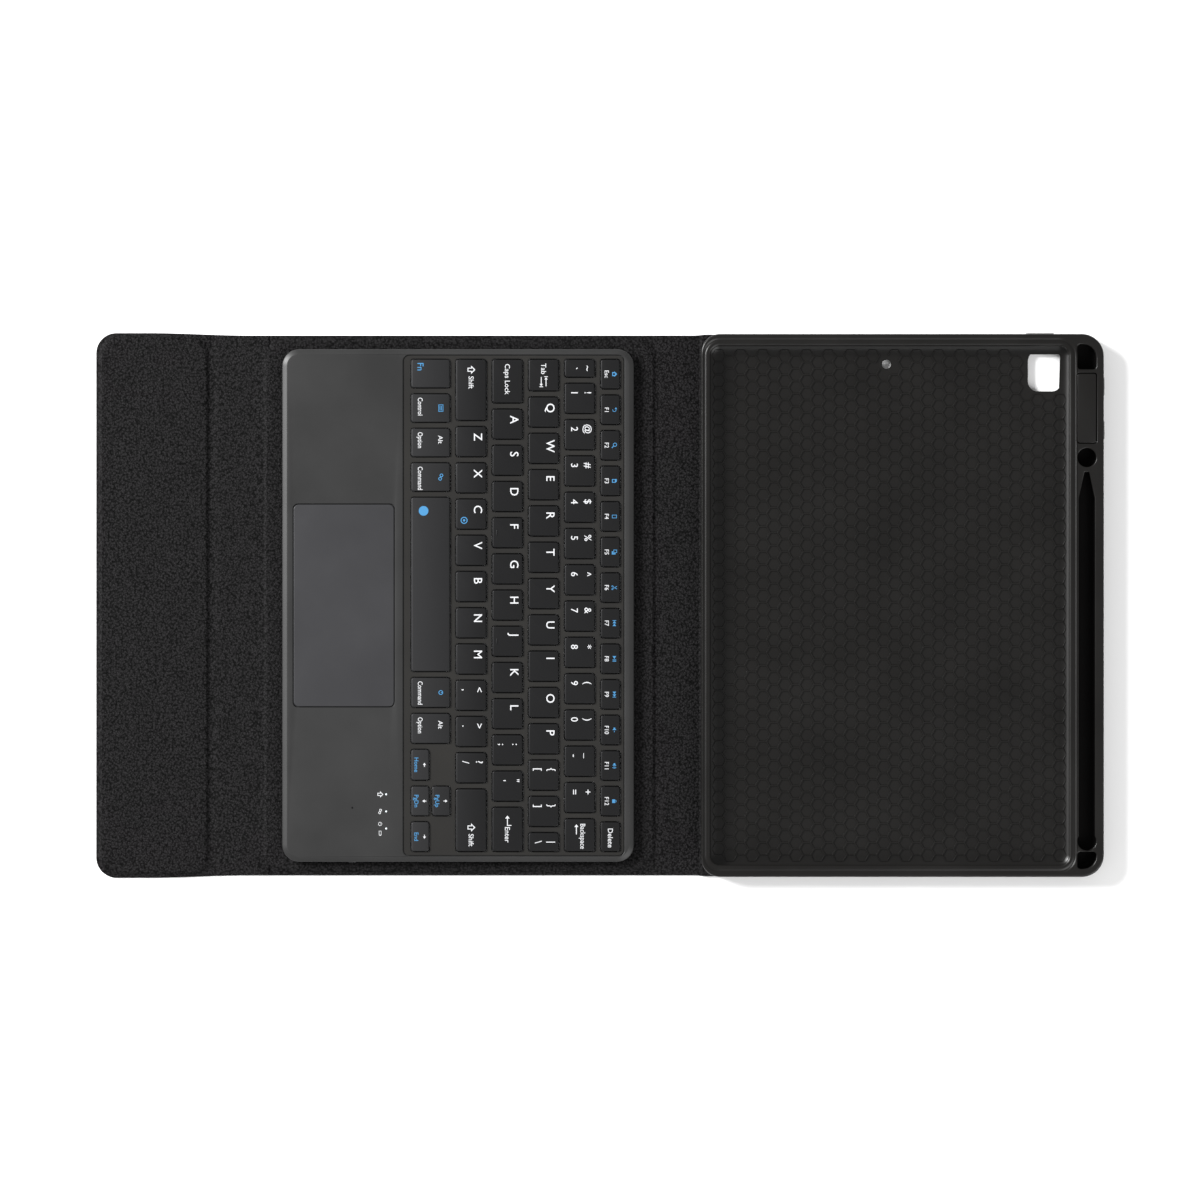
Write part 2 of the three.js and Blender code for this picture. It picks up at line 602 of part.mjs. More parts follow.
function circuitPieces(group) {
  const half = keyboardWidth / 2 - keyboard.wall - circuit.inset;
  const near = keyboard.palmRest + circuit.inset;
  const far = keyboardDepth - keyboard.wall - circuit.inset;
  const layers = [
    ['key_support_plate', circuit.plate, 'steel'],
    ['membrane_circuit', circuit.membrane, 'film'],
    ['rubber_dome_sheet', circuit.domes, 'silicone'],
  ];
  const radii = keyboard.radius - keyboard.wall - circuit.inset;
  let bottom = coverFloor;
  for (const [name, thickness, look] of layers) {
    piece(group, name, slab(-half, half, near, far, bottom, bottom + thickness, radii, 1), look);
    bottom += thickness;
  }
}

function electronicsPieces(group) {
  const right = keyboardWidth / 2;
  const padHalf = trackpad.width / 2 + trackpad.flange;
  const boardRight = right - chargePort.length;
  const boardLeft = Math.max(boardRight - board.width, padHalf + touchGap);
  const batteryRight = -padHalf - touchGap;
  const batteryLeft = Math.max(batteryRight - battery.width, -right + keyboard.wall + touchGap);
  const boardTopZ = coverFloor + board.thickness;
  const boardFar = keyboard.palmRest - indicator.fromFar + board.beyondLens;
  piece(group, 'battery', block(batteryLeft, batteryRight, board.near, board.near + battery.depth,
    coverFloor, coverFloor + battery.thickness), 'foil');
  piece(group, 'main_board', block(boardLeft, boardRight, board.near, boardFar,
    coverFloor, boardTopZ), 'circuitBoard');
  piece(group, 'charge_port', block(boardRight, right, chargePort.near, chargePort.near + chargePort.width,
    portBottom, portBottom + chargePort.height), 'steel');
  const knobBack = right - keyboard.wall - slider.clearance;
  const stem = block(knobBack - slider.clearance, right + slider.proud, slider.near,
    slider.near + slider.length, sliderBottom, sliderBottom + slider.height);
  const heel = block(knobBack - slider.heel, knobBack, slider.near - slider.heelSpare,
    slider.near + slider.length + slider.heelSpare, sliderBottom, sliderBottom + slider.height);
  piece(group, 'power_switch_knob', stem.add(heel), 'keyCap');
  indicatorPlaces().forEach(([x, y], i) => piece(group, `indicator_lens_${i + 1}`,
    disc(x, y, indicator.diameter, boardTopZ, deckTop, 8), 'lens'));
  for (const [side, name] of [[-1, 'left'], [1, 'right']]) {
    const x = side * magnet.fromCentre;
    piece(group, `keyboard_magnet_${name}`, block(x - magnet.length / 2, x + magnet.length / 2,
      magnet.near, magnet.near + magnet.width, coverFloor, coverFloor + magnet.thickness), 'magnet');
  }
}

function trackpadPieces(group) {
  const plateBottom = deckTop - trackpad.thickness;
  const flangeTop = deckBottom - keys.carrierGap;
  const flangeBottom = flangeTop - trackpad.flangeThickness;
  const plate = slab(...trackpadBounds(0), plateBottom, deckTop, trackpad.radius, 2);
  const flange = block(...trackpadBounds(trackpad.flange), flangeBottom, flangeTop);
  piece(group, 'trackpad', plate.add(flange), 'touchPlate');
  const switchTop = flangeBottom - trackpad.travel - trackpad.switchGap;
  const half = trackpad.switchSize / 2;
  const y = trackpad.nearMargin + trackpad.switchSize;
  piece(group, 'trackpad_switch',
    block(-half, half, y, y + trackpad.switchSize, coverFloor, switchTop), 'steel');
}

// ---------------------------------------------------------------- assembly
const tabletKeyboardCase = new THREE.Group();
tabletKeyboardCase.position.y = -caseLength / 2;

flapPieces(tabletKeyboardCase);
flexiblePieces(tabletKeyboardCase, 'closure_strip', flapFold, stripFold, frontWidth / 2, frontWidth / 2);
frontPieces(tabletKeyboardCase);
flexiblePieces(tabletKeyboardCase, 'spine', spineFold, backFold, frontWidth / 2, frontWidth / 2);
standPieces(tabletKeyboardCase);
backPieces(tabletKeyboardCase);
trayPieces(tabletKeyboardCase);

const keyboardGroup = new THREE.Group();
keyboardGroup.position.set(0, keyboardNear, panelThickness);
tabletKeyboardCase.add(keyboardGroup);
const layout = keyLayout();
casePieces(keyboardGroup, layout);
circuitPieces(keyboardGroup);
electronicsPieces(keyboardGroup);
trackpadPieces(keyboardGroup);
keyPieces(keyboardGroup, layout);

export default tabletKeyboardCase;
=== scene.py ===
import json
import math

import bmesh
import bpy
from mathutils import Matrix, Vector, noise


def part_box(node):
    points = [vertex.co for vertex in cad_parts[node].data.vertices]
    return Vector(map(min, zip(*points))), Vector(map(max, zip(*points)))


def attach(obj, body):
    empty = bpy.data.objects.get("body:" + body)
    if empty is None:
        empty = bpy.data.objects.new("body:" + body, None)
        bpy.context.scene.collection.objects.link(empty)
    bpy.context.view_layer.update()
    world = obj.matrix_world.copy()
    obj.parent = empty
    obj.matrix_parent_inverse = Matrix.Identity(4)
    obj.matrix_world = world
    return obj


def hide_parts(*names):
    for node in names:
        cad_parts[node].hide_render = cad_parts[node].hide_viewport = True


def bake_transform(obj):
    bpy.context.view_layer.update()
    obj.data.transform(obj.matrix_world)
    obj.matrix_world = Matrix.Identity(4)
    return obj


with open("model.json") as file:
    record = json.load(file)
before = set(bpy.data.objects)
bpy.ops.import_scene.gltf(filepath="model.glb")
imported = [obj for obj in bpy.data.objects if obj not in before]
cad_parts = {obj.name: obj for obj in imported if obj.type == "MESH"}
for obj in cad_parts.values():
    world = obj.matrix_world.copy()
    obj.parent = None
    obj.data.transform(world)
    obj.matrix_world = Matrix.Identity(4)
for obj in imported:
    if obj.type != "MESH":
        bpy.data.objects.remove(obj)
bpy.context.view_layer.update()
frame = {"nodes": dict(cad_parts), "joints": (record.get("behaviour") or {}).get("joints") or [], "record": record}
mm = 0.001
print("frame loaded")


def nodeBox(name):
    low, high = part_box(name)
    return [v / mm for v in low], [v / mm for v in high]


def planBox(name, grow=0):
    low, high = nodeBox(name)
    return low[0] - grow, high[0] + grow, low[1] - grow, high[1] + grow


def middleOf(name):
    left, right, near, far = planBox(name)
    return (left + right) / 2, (near + far) / 2


def smoothstep(low, high, value):
    t = min(max((value - low) / (high - low), 0), 1)
    return t * t * (3 - 2 * t)


def roundedDistance(x, y, box, radius):
    # distance outside a rounded rectangle, negative inside
    left, right, near, far = box
    dx = abs(x - (left + right) / 2) - (right - left) / 2 + radius
    dy = abs(y - (near + far) / 2) - (far - near) / 2 + radius
    return math.hypot(max(dx, 0), max(dy, 0)) + min(max(dx, dy), 0) - radius


def ring(box, radii, inset, z, segments=8):
    # a rounded rectangle's points at one height, pulled in by inset
    left, right, near, far = box
    corners = ((1, -1, right, near, radii[1]), (1, 1, right, far, radii[2]),
               (-1, 1, left, far, radii[3]), (-1, -1, left, near, radii[0]))
    points = []
    for i, (sx, sy, x, y, radius) in enumerate(corners):
        r = max(radius - inset, 0.02)
        cx, cy = x - sx * (inset + r), y - sy * (inset + r)
        for k in range(segments + 1):
            a = math.radians(-90 + 90 * i + 90 * k / segments)
            points.append((cx + r * math.cos(a), cy + r * math.sin(a), z))
    return points


def circle(x, y, radius, z, sides=32):
    return [(x + radius * math.cos(2 * math.pi * k / sides),
             y + radius * math.sin(2 * math.pi * k / sides), z) for k in range(sides)]


def addRing(bm, points):
    return [bm.verts.new((x * mm, y * mm, z * mm)) for x, y, z in points]


def bridge(bm, a, b, slot=0):
    n = len(a)
    for i in range(n):
        face = bm.faces.new((a[i], a[(i + 1) % n], b[(i + 1) % n], b[i]))
        face.material_index = slot


def loft(bm, rings, capFirst=True, capLast=True, slot=0):
    # skins a run of rings, from the first to the last, and closes the ends asked for
    loops = [addRing(bm, points) for points in rings]
    for a, b in zip(loops, loops[1:]):
        bridge(bm, a, b, slot)
    if capFirst:
        bm.faces.new(loops[0][::-1]).material_index = slot
    if capLast:
        bm.faces.new(loops[-1]).material_index = slot
    return loops[0], loops[-1]


def openWall(bm, rings):
    # the same as loft, with both ends left open: returns the first loop and the last
    return loft(bm, rings, False, False)


def fillPlane(bm, loops, slot=0):
    # fills a flat region between an outer loop and the holes inside it
    edges = []
    for loop in loops:
        for i in range(len(loop)):
            a, b = loop[i], loop[(i + 1) % len(loop)]
            edges.append(bm.edges.get((a, b)) or bm.edges.new((a, b)))
    made = bmesh.ops.triangle_fill(bm, use_beauty=True, edges=edges, normal=(0, 0, 1))
    for item in made["geom"]:
        if isinstance(item, bmesh.types.BMFace):
            item.material_index = slot


def finishMesh(name, bm, materials, sharpAngle=38, closed=True):
    if closed:
        bmesh.ops.recalc_face_normals(bm, faces=bm.faces)
    for face in bm.faces:
        face.smooth = True
    mesh = bpy.data.meshes.new(name)
    bm.to_mesh(mesh)
    bm.free()
    mesh.set_sharp_from_angle(angle=math.radians(sharpAngle))
    for material in materials:
        mesh.materials.append(material)
    piece = bpy.data.objects.new(name, mesh)
    bpy.context.collection.objects.link(piece)
    return piece


def edgeProfile(radius, bottom, top, steps=4, foot=0.0):
    # (inset, height) pairs up a straight side and round its top edge
    profile = [(foot, bottom), (0, bottom + foot)] if foot else [(0, bottom)]
    for k in range(steps + 1):
        a = math.pi / 2 * k / steps
        profile.append((radius * (1 - math.cos(a)), top - radius * (1 - math.sin(a))))
    return profile


def prism(bm, box, radii, profile, segments=8, slot=0):
    return loft(bm, [ring(box, radii, inset, z, segments) for inset, z in profile], slot=slot)


def sidePlate(bm, box, radii, profile, slot=0, segments=5):
    # the same as prism, but standing on the YZ plane and running along X: profile holds (inset, x)
    rings = [[(x, y, z) for y, z, _ in ring(box, radii, inset, 0, segments)] for inset, x in profile]
    return loft(bm, rings, slot=slot)


def cutWith(piece, cutters):
    # takes the cutters' boxes out of a piece and leaves a plain mesh
    bm = bmesh.new()
    for box, z0, z1, radius in cutters:
        prism(bm, box, [radius] * 4, [(0, z0), (0, z1)], 5)
    tool = finishMesh("cutTool", bm, [])
    cut = piece.modifiers.new("cut", "BOOLEAN")
    cut.object = tool
    cut.solver = "EXACT"
    result = bpy.data.meshes.new_from_object(
        piece.evaluated_get(bpy.context.evaluated_depsgraph_get()))
    piece.modifiers.clear()
    piece.data = result
    bpy.data.objects.remove(tool)
    for polygon in result.polygons:
        polygon.use_smooth = True
    result.set_sharp_from_angle(angle=math.radians(38))


def srgb(code):
    parts = [int(code[i:i + 2], 16) / 255 for i in (1, 3, 5)]
    return [c / 12.92 if c <= 0.04045 else ((c + 0.055) / 1.055) ** 2.4 for c in parts] + [1]


def addNode(tree, kind, links=None, **settings):
    # one node with its settings, its input values, and links into it
    node = tree.nodes.new(kind)
    for key, value in settings.items():
        if hasattr(node, key) and key not in node.inputs:
            setattr(node, key, value)
        else:
            node.inputs[key.replace("_", " ")].default_value = value
    for socket, source in (links or {}).items():
        tree.links.new(source, node.inputs[socket])
    return node


def noiseOf(tree, place, sizeMm, detail):
    return addNode(tree, "ShaderNodeTexNoise", {"Vector": place.outputs["Object"]},
                   Scale=1 / (sizeMm * mm), Detail=detail)


def rampOf(tree, share, low, high, start=0.0, end=1.0):
    # a colour that goes from low to high
    tint = addNode(tree, "ShaderNodeValToRGB", {"Fac": share})
    first, last = tint.color_ramp.elements
    first.color, last.color = srgb(low), srgb(high)
    first.position, last.position = start, end
    return tint.outputs["Color"]


def newMaterial(name, roughness, ior=1.5, metallic=0.0, specular=0.5):
    material = bpy.data.materials.new(name)
    material.use_nodes = True
    shader = material.node_tree.nodes["Principled BSDF"]
    shader.inputs["Roughness"].default_value = roughness
    shader.inputs["Metallic"].default_value = metallic
    if not metallic:
        shader.inputs["IOR"].default_value = ior
    shader.inputs["Specular IOR Level"].default_value = specular
    return material, material.node_tree, shader


def mottled(tree, shader, low, high, sizeMm, roughLow, roughHigh):
    # soft changes of colour and of gloss over one finish
    place = addNode(tree, "ShaderNodeTexCoord")
    cloud = noiseOf(tree, place, sizeMm, 4)
    tint = rampOf(tree, cloud.outputs["Fac"], low, high, 0.3, 0.7)
    gloss = addNode(tree, "ShaderNodeMapRange", {"Value": cloud.outputs["Fac"]},
                    To_Min=roughLow, To_Max=roughHigh)
    tree.links.new(tint, shader.inputs["Base Color"])
    tree.links.new(gloss.outputs["Result"], shader.inputs["Roughness"])
    return place


def bumped(tree, shader, height, strength, distanceMm):
    bump = addNode(tree, "ShaderNodeBump", {"Height": height}, Strength=strength,
                   Distance=distanceMm * mm)
    tree.links.new(bump.outputs["Normal"], shader.inputs["Normal"])


leatherLook = {"valley": "#010101", "ridge": "#272627", "grainMm": 0.9, "poreMm": 0.38, "bump": 1.0,
               "depthMm": 0.2}


def blackPuLeather():
    # polyurethane-coated split leather: pebbled grain, satin black, darker in the valleys
    # between the pebbles than on top of them
    material, tree, shader = newMaterial("blackPuLeather", 0.55, specular=0.06)
    place = addNode(tree, "ShaderNodeTexCoord")
    pebbles = addNode(tree, "ShaderNodeTexVoronoi", {"Vector": place.outputs["Object"]},
                      feature="SMOOTH_F1", Scale=1 / (leatherLook["grainMm"] * mm))
    pores = noiseOf(tree, place, leatherLook["poreMm"], 3)
    cloud = noiseOf(tree, place, 14, 4)
    crown = addNode(tree, "ShaderNodeMath", {0: pores.outputs["Fac"], 1: pebbles.outputs["Distance"]},
                    operation="SUBTRACT")
    share = addNode(tree, "ShaderNodeMapRange", {"Value": crown.outputs[0]}, From_Min=-0.1, From_Max=0.4)
    patches = addNode(tree, "ShaderNodeMapRange", {"Value": cloud.outputs["Fac"]}, To_Min=0.42, To_Max=0.58)
    uneven = addNode(tree, "ShaderNodeMath", {0: share.outputs["Result"], 1: patches.outputs["Result"]},
                     operation="MULTIPLY")
    tint = rampOf(tree, uneven.outputs[0], leatherLook["valley"], leatherLook["ridge"], end=0.7)
    gloss = addNode(tree, "ShaderNodeMapRange", {"Value": cloud.outputs["Fac"]}, To_Min=0.48, To_Max=0.6)
    tree.links.new(tint, shader.inputs["Base Color"])
    tree.links.new(gloss.outputs["Result"], shader.inputs["Roughness"])
    bumped(tree, shader, crown.outputs[0], leatherLook["bump"], leatherLook["depthMm"])
    return material


def satinPlastic(name, low, high, grainMm, roughness, bump=0.25, specular=0.4):
    # injection-moulded plastic from a spark-eroded mould: an even, very fine matt texture
    material, tree, shader = newMaterial(name, roughness, ior=1.49, specular=specular)
    place = mottled(tree, shader, low, high, 30, roughness - 0.03, roughness + 0.04)
    bumped(tree, shader, noiseOf(tree, place, grainMm, 3).outputs["Fac"], bump, 0.03)
    return material


# key colour from the rows nearest the typist (near) to the far rows: the lighter near rows are painted light
keyLook = {"far": "#0b0b0c", "near": "#222223", "fromY": -94.0, "toY": -56.0}


def keyPlasticPaintedLight():
    # moulded black ABS: a fine matt texture, painted lighter on the rows nearest the typist, painted light for the
    # stronger light that falls on them
    material, tree, shader = newMaterial("absKeyBlack", 0.45, ior=1.49, specular=0.2)
    place = mottled(tree, shader, keyLook["far"], keyLook["far"], 30, 0.42, 0.49)
    spot = addNode(tree, "ShaderNodeSeparateXYZ", {"Vector": place.outputs["Object"]})
    across = addNode(tree, "ShaderNodeMapRange", {"Value": spot.outputs["Y"]},
                     From_Min=keyLook["fromY"] * mm, From_Max=keyLook["toY"] * mm)
    # painted light: the keys lighten towards the typist's side
    tint = rampOf(tree, across.outputs["Result"], keyLook["near"], keyLook["far"])
    tree.links.new(tint, shader.inputs["Base Color"])
    bumped(tree, shader, noiseOf(tree, place, 0.4, 3).outputs["Fac"], 0.15, 0.03)
    return material


def printedInk(name, colour):
    # pad-printed ink: flat, slightly glossier than the key under it
    material, tree, shader = newMaterial(name, 0.45)
    mottled(tree, shader, colour, colour, 3, 0.42, 0.5)
    return material


def platedMetal(name, low, high, roughness):
    # stamped metal with a thin bright plating: faint rolling lines along X
    material, tree, shader = newMaterial(name, roughness, metallic=1.0)
    place = mottled(tree, shader, low, high, 8, roughness - 0.05, roughness + 0.08)
    stretch = addNode(tree, "ShaderNodeMapping", {"Vector": place.outputs["Object"]})
    stretch.inputs["Scale"].default_value = (0.05, 1, 1)
    lines = addNode(tree, "ShaderNodeTexNoise", {"Vector": stretch.outputs["Vector"]},
                    Scale=1 / (0.3 * mm), Detail=2)
    bumped(tree, shader, lines.outputs["Fac"], 0.15, 0.01)
    return material


leather = blackPuLeather()
trayPlastic = satinPlastic("softTpuBlack", "#0c0b0a", "#11100f", 0.5, 0.3, specular=0.26)
# rough TPU coloured near black for the insides of the pockets and the pencil slot: painted shade for the dark
# depth of the recesses
pocketShadePlastic = satinPlastic("softTpuRoughWithPaintedShade", "#050404", "#080707", 0.4, 0.75, 0.6, specular=0.08)
casePlastic = satinPlastic("absCaseDarkGrey", "#212121", "#262626", 0.45, 0.4, 0.4, specular=0.3)
# key frame plastic: its warmer grey is its own, its extra darkness against the case is painted shade between the
# keys
keyFrameShadePlastic = satinPlastic("absKeyFrameGreyAndPaintedShade", "#181716", "#1c1b19", 0.45, 0.5, 0.3, specular=0.22)
keyPlastic = keyPlasticPaintedLight()
touchPlastic = satinPlastic("etchedTouchSheet", "#262628", "#2a2a2c", 0.3, 0.36, 0.08)
boardStuff = satinPlastic("stiffenerBoard", "#86827a", "#949086", 0.6, 0.85, 0.4)
footRubber = satinPlastic("siliconeRubberBlack", "#151515", "#1b1b1b", 0.5, 0.8)
domeRubber = satinPlastic("siliconeRubberClear", "#c9cccd", "#d6d8d8", 0.6, 0.6)
filmPlastic = satinPlastic("polyesterFilm", "#aab6bc", "#b9c4c9", 1.2, 0.3, 0.05)
boardGreen = satinPlastic("solderMaskGreen", "#15502b", "#1d6236", 1.5, 0.4, 0.1)
lensPlastic = satinPlastic("acrylicLens", "#c8d0d4", "#dde4e8", 0.5, 0.15, 0.02)
voidBlack = satinPlastic("shadowedInside", "#0b0b0c", "#0e0e0f", 0.5, 0.8)
whiteInk = printedInk("whiteKeyInk", "#b6b7b9")
blueInk = printedInk("blueKeyInk", "#33719c")
platedSteel = platedMetal("zincPlatedSteel", "#a6a7a8", "#b4b5b6", 0.35)
nickelPlate = platedMetal("nickelPlate", "#9a9b9f", "#abacb0", 0.28)
pouchFoil = platedMetal("pouchFoil", "#b9bbbd", "#c6c8ca", 0.4)
print("materials made")

slotMaterials = {
    "cover_leather": leather, "lining_leather": leather, "stiffening_board": boardStuff,
    "tray_soft_plastic": trayPlastic, "keyboard_case_plastic": casePlastic,
    "key_plastic": keyPlastic, "trackpad_plate": touchPlastic, "foot_rubber": footRubber,
    "plated_steel": platedSteel, "nickel_magnet": nickelPlate, "circuit_board": boardGreen,
    "membrane_film": filmPlastic, "dome_silicone": domeRubber, "battery_foil": pouchFoil,
    "clear_lens": lensPlastic,
}
nodeSlot = {part["node"]: part["material_slot"] for part in frame["record"]["subparts"]}
for nodeName, cadObject in frame["nodes"].items():
    cadObject.data.materials.clear()
    cadObject.data.materials.append(slotMaterials[nodeSlot[nodeName]])


def place(piece, body, *nodes):
    # hands a finished piece to its CAD body, in place of the nodes it stands for
    if nodes:
        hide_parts(*nodes)
    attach(piece, body)


# leather cover: five pieces, each reaching across one of the five folds
cover = {
    "flapHalf": 130.0, "taperFrom": 26.0, "taperTo": 73.0, "flapRadius": 9.7, "backRadius": 10.5,
    "shoulder": 1.6, "drape": 0.62, "seatGap": 0.05, "edgeRoll": 0.62, "boardRadius": 8.0,
    "wave": 0.05, "waveLength": 24.0,
    "creaseDepth": 0.34, "creaseWidth": 2.4, "foldHalf": 2.6, "rowStep": 4.0,
}
foldY = {j["name"]: j["pos_m"][1] / mm for j in frame["joints"] if "pos_m" in j}
thinTop = nodeBox("closure_strip_lining")[1][2]
panelTop = nodeBox("front_lining")[1][2]
caseNear = planBox("flap_outer_skin")[2]
caseFar = planBox("back_outer_skin")[3]
frontHalf = planBox("front_outer_skin")[1]
backHalf = planBox("back_outer_skin")[1]
raisedBoards = [planBox("flap_board"), planBox("front_board")]
seatNear = planBox("tablet_tray")[2]
creaseLines = [foldY["closure_flap_fold"] + 0.2]


def straightHalf(y):
    # half the cover's width, as if it had no rounded corners
    half = cover["flapHalf"] + (frontHalf - cover["flapHalf"]) * smoothstep(
        cover["taperFrom"], cover["taperTo"], y - caseNear)
    return half + (backHalf - frontHalf) * smoothstep(seatNear - 3, seatNear + 3, y)


def coverHalf(y):
    half = straightHalf(y)
    for distance, radius in ((y - caseNear, cover["flapRadius"]), (caseFar - y, cover["backRadius"])):
        if distance < radius:
            half -= radius - math.sqrt(max(radius ** 2 - (radius - distance) ** 2, 0))
    return half


def edgeDistance(x, y):
    # how far inside the cover's outline a point is
    half = straightHalf(y)
    flap = -roundedDistance(x, y, (-half, half, caseNear, caseFar + 99), cover["flapRadius"])
    back = -roundedDistance(x, y, (-half, half, caseNear - 99, caseFar), cover["backRadius"])
    return max(min(flap, back), 0)


def coverTop(x, y):
    # the lining hangs in a slope from the front board down to the closure strip's crease
    slope = min(max((y - creaseLines[0]) / (raisedBoards[1][2] - creaseLines[0]), 0), 1)
    top = thinTop + cover["drape"] * slope ** 2 * (y < raisedBoards[1][2] + 1)
    for box in raisedBoards:
        away = roundedDistance(x, y, box, cover["boardRadius"])
        top += (panelTop - top) * (1 - smoothstep(-0.3, cover["shoulder"], away))
    top += (panelTop - cover["seatGap"] - top) * smoothstep(seatNear - 0.6, seatNear + 0.4, y)
    for line in creaseLines:
        top -= cover["creaseDepth"] * math.exp(-((y - line) / cover["creaseWidth"]) ** 2)
    wave = noise.noise(Vector((x, y, 0)) / cover["waveLength"]) * cover["wave"]
    return min(top + wave * smoothstep(0, 6, seatNear - y), panelTop)


def coverRows(near, far):
    rows = {near, far}
    y = near
    while y < far:
        rows.add(y)
        closest = min([abs(y - f) for f in foldY.values()] + [abs(y - line) for line in creaseLines]
                      + [abs(y - edge) for box in raisedBoards for edge in box[2:]]
                      + [abs(y - seatNear)])
        y += 0.3 if closest < 3.2 else (1.0 if closest < 9 else cover["rowStep"])
    for edge, radius, sign in ((caseNear, cover["flapRadius"], 1), (caseFar, cover["backRadius"], -1)):
        if near <= edge <= far:
            for k in range(17):
                rows.add(edge + sign * radius * (1 - math.cos(math.pi / 2 * k / 16)))
            rows.update(edge + sign * d for d in (0.04, 0.15, 0.3, 0.5, 0.8, 1.3, 2, 3))
    return sorted(r for r in rows if near <= r <= far)


def coverPiece(name, near, far):
    edges = [0, 0.04, 0.12, 0.25, 0.4, 0.6, 0.9, 1.3, 1.8, 2.3, 2.8, 3.3, 4, 5, 7, 10, 15]
    inner = [k / 22 for k in range(1, 22)]
    bm = bmesh.new()
    tops, bottoms = [], []
    for y in coverRows(near, far):
        half = coverHalf(y)
        reach = half - edges[-1]
        xs = [-half + e for e in edges] + [-reach + 2 * reach * k for k in inner]
        xs += [half - e for e in reversed(edges)]
        topRow, bottomRow = [], []
        for x in xs:
            top = coverTop(x, y)
            roll = min(edgeDistance(x, y) / cover["edgeRoll"], 1)
            curve = math.sqrt(max(1 - (1 - roll) ** 2, 0))
            middle = top / 2
            topRow.append((x, y, middle + (top - middle) * curve))
            bottomRow.append((x, y, middle - middle * curve))
        tops.append(addRing(bm, topRow))
        bottoms.append(addRing(bm, bottomRow))
    for rows, flip in ((tops, False), (bottoms, True)):
        for a, b in zip(rows, rows[1:]):
            for i in range(len(a) - 1):
                quad = (a[i], a[i + 1], b[i + 1], b[i])
                bm.faces.new(quad[::-1] if flip else quad)
    for top, bottom, flip in ((tops[0], bottoms[0], False), (tops[-1], bottoms[-1], True)):
        for i in range(len(top) - 1):
            quad = (bottom[i], bottom[i + 1], top[i + 1], top[i])
            bm.faces.new(quad[::-1] if flip else quad)
    for side in (0, -1):
        for k in range(len(tops) - 1):
            quad = (tops[k][side], tops[k + 1][side], bottoms[k + 1][side], bottoms[k][side])
            bm.faces.new(quad if side else quad[::-1])
    bmesh.ops.remove_doubles(bm, verts=bm.verts, dist=1e-7)
    bmesh.ops.dissolve_degenerate(bm, edges=bm.edges, dist=1e-7)
    return finishMesh(name, bm, [leather], 50)


def foldedPiece(name, near, far, nodes):
    piece = coverPiece(name, near, far)
    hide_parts(*nodes)
    if name == "backCover":
        cutWith(piece, [(windowBox, -2, 4, camera["radius"]), (micBox, -2, 4, camera["mic"] / 2 - 0.01)])
    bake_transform(piece)


# the two holes through the back: camera window and microphone
camera = {"fromSide": 7.95, "fromFar": 19.6, "width": 19.2, "depth": 16.2, "radius": 4.7, "mic": 4.4,
          "micX": -115.0, "micFromFar": 103.2}
trayBox = planBox("tablet_tray")
windowBox = (trayBox[0] + camera["fromSide"], trayBox[0] + camera["fromSide"] + camera["width"],
             trayBox[3] - camera["fromFar"] - camera["depth"], trayBox[3] - camera["fromFar"])
micY = trayBox[3] - camera["micFromFar"]
micBox = (camera["micX"] - camera["mic"] / 2, camera["micX"] + camera["mic"] / 2,
          micY - camera["mic"] / 2, micY + camera["mic"] / 2)

stripMid = (foldY["closure_flap_fold"] + foldY["closure_strip_fold"]) / 2
frontMid = (foldY["closure_strip_fold"] + foldY["front_spine_fold"]) / 2
spineMid = (foldY["front_spine_fold"] + foldY["back_spine_fold"]) / 2
standMid = (foldY["back_spine_fold"] + foldY["back_stand_fold"]) / 2
foldedPiece("flapCover", caseNear, stripMid,
            ("flap_outer_skin", "flap_lining", "closure_strip_outer_skin", "closure_strip_lining"))
foldedPiece("stripCover", stripMid, frontMid,
            ("closure_strip_outer_skin", "closure_strip_lining", "front_outer_skin", "front_lining"))
foldedPiece("spineCover", frontMid, spineMid,
            ("front_outer_skin", "front_lining", "spine_outer_skin", "spine_lining"))
foldedPiece("standCover", spineMid, standMid,
            ("spine_outer_skin", "spine_lining", "stand_outer_skin", "stand_lining"))
foldedPiece("backCover", standMid, caseFar,
            ("stand_outer_skin", "stand_lining", "back_outer_skin"))
print("leather cover made")


# tablet tray: moulded shell with its lip, pencil slot, pockets and honeycomb floor
tray = {
    "nearRadius": 9.0, "farRadius": 10.5, "cavityRadius": 6.5, "nearWall": 2.5, "endWall": 3.75,
    "farStrip": 14.7, "floorZ": 3.4, "pencilLine": 8.1, "rimRadius": 0.9,
    "lip": ((-2.0, 0), (-1.7, -0.06), (-1.3, -0.28), (-1.0, -0.42), (-0.7, -0.4), (-0.4, -0.24), (0, -0.1),
            (0.5, -0.06), (1.1, -0.14), (1.6, -0.36), (1.95, -0.72), (2.0, -0.95), (1.7, -1.05), (0.3, -1.1)),
    "bowl": ((0, 10.4), (0, 7.2), (0.25, 6.0), (0.9, 5.0), (1.9, 4.3), (3.2, 3.75), (4.6, 3.47), (5.8, 3.4)),
}
slot = {"tip": 65.75, "end": 17.15, "half": 3.85, "tipHalf": 1.15, "taper": 12.6, "bulge": 4.5,
        "floor": 4.4, "shallow": 6.2, "shallowLength": 26.6}
pockets = {"capHole": 58.85, "capRadius": 4.5, "rockerFrom": 18.85, "rockerLength": 33.0, "rockerHalf": 4.55,
           "topFrom": 5.0, "topLength": 11.8, "bottomFrom": 3.9, "bottomLength": 8.0, "half": 4.5}
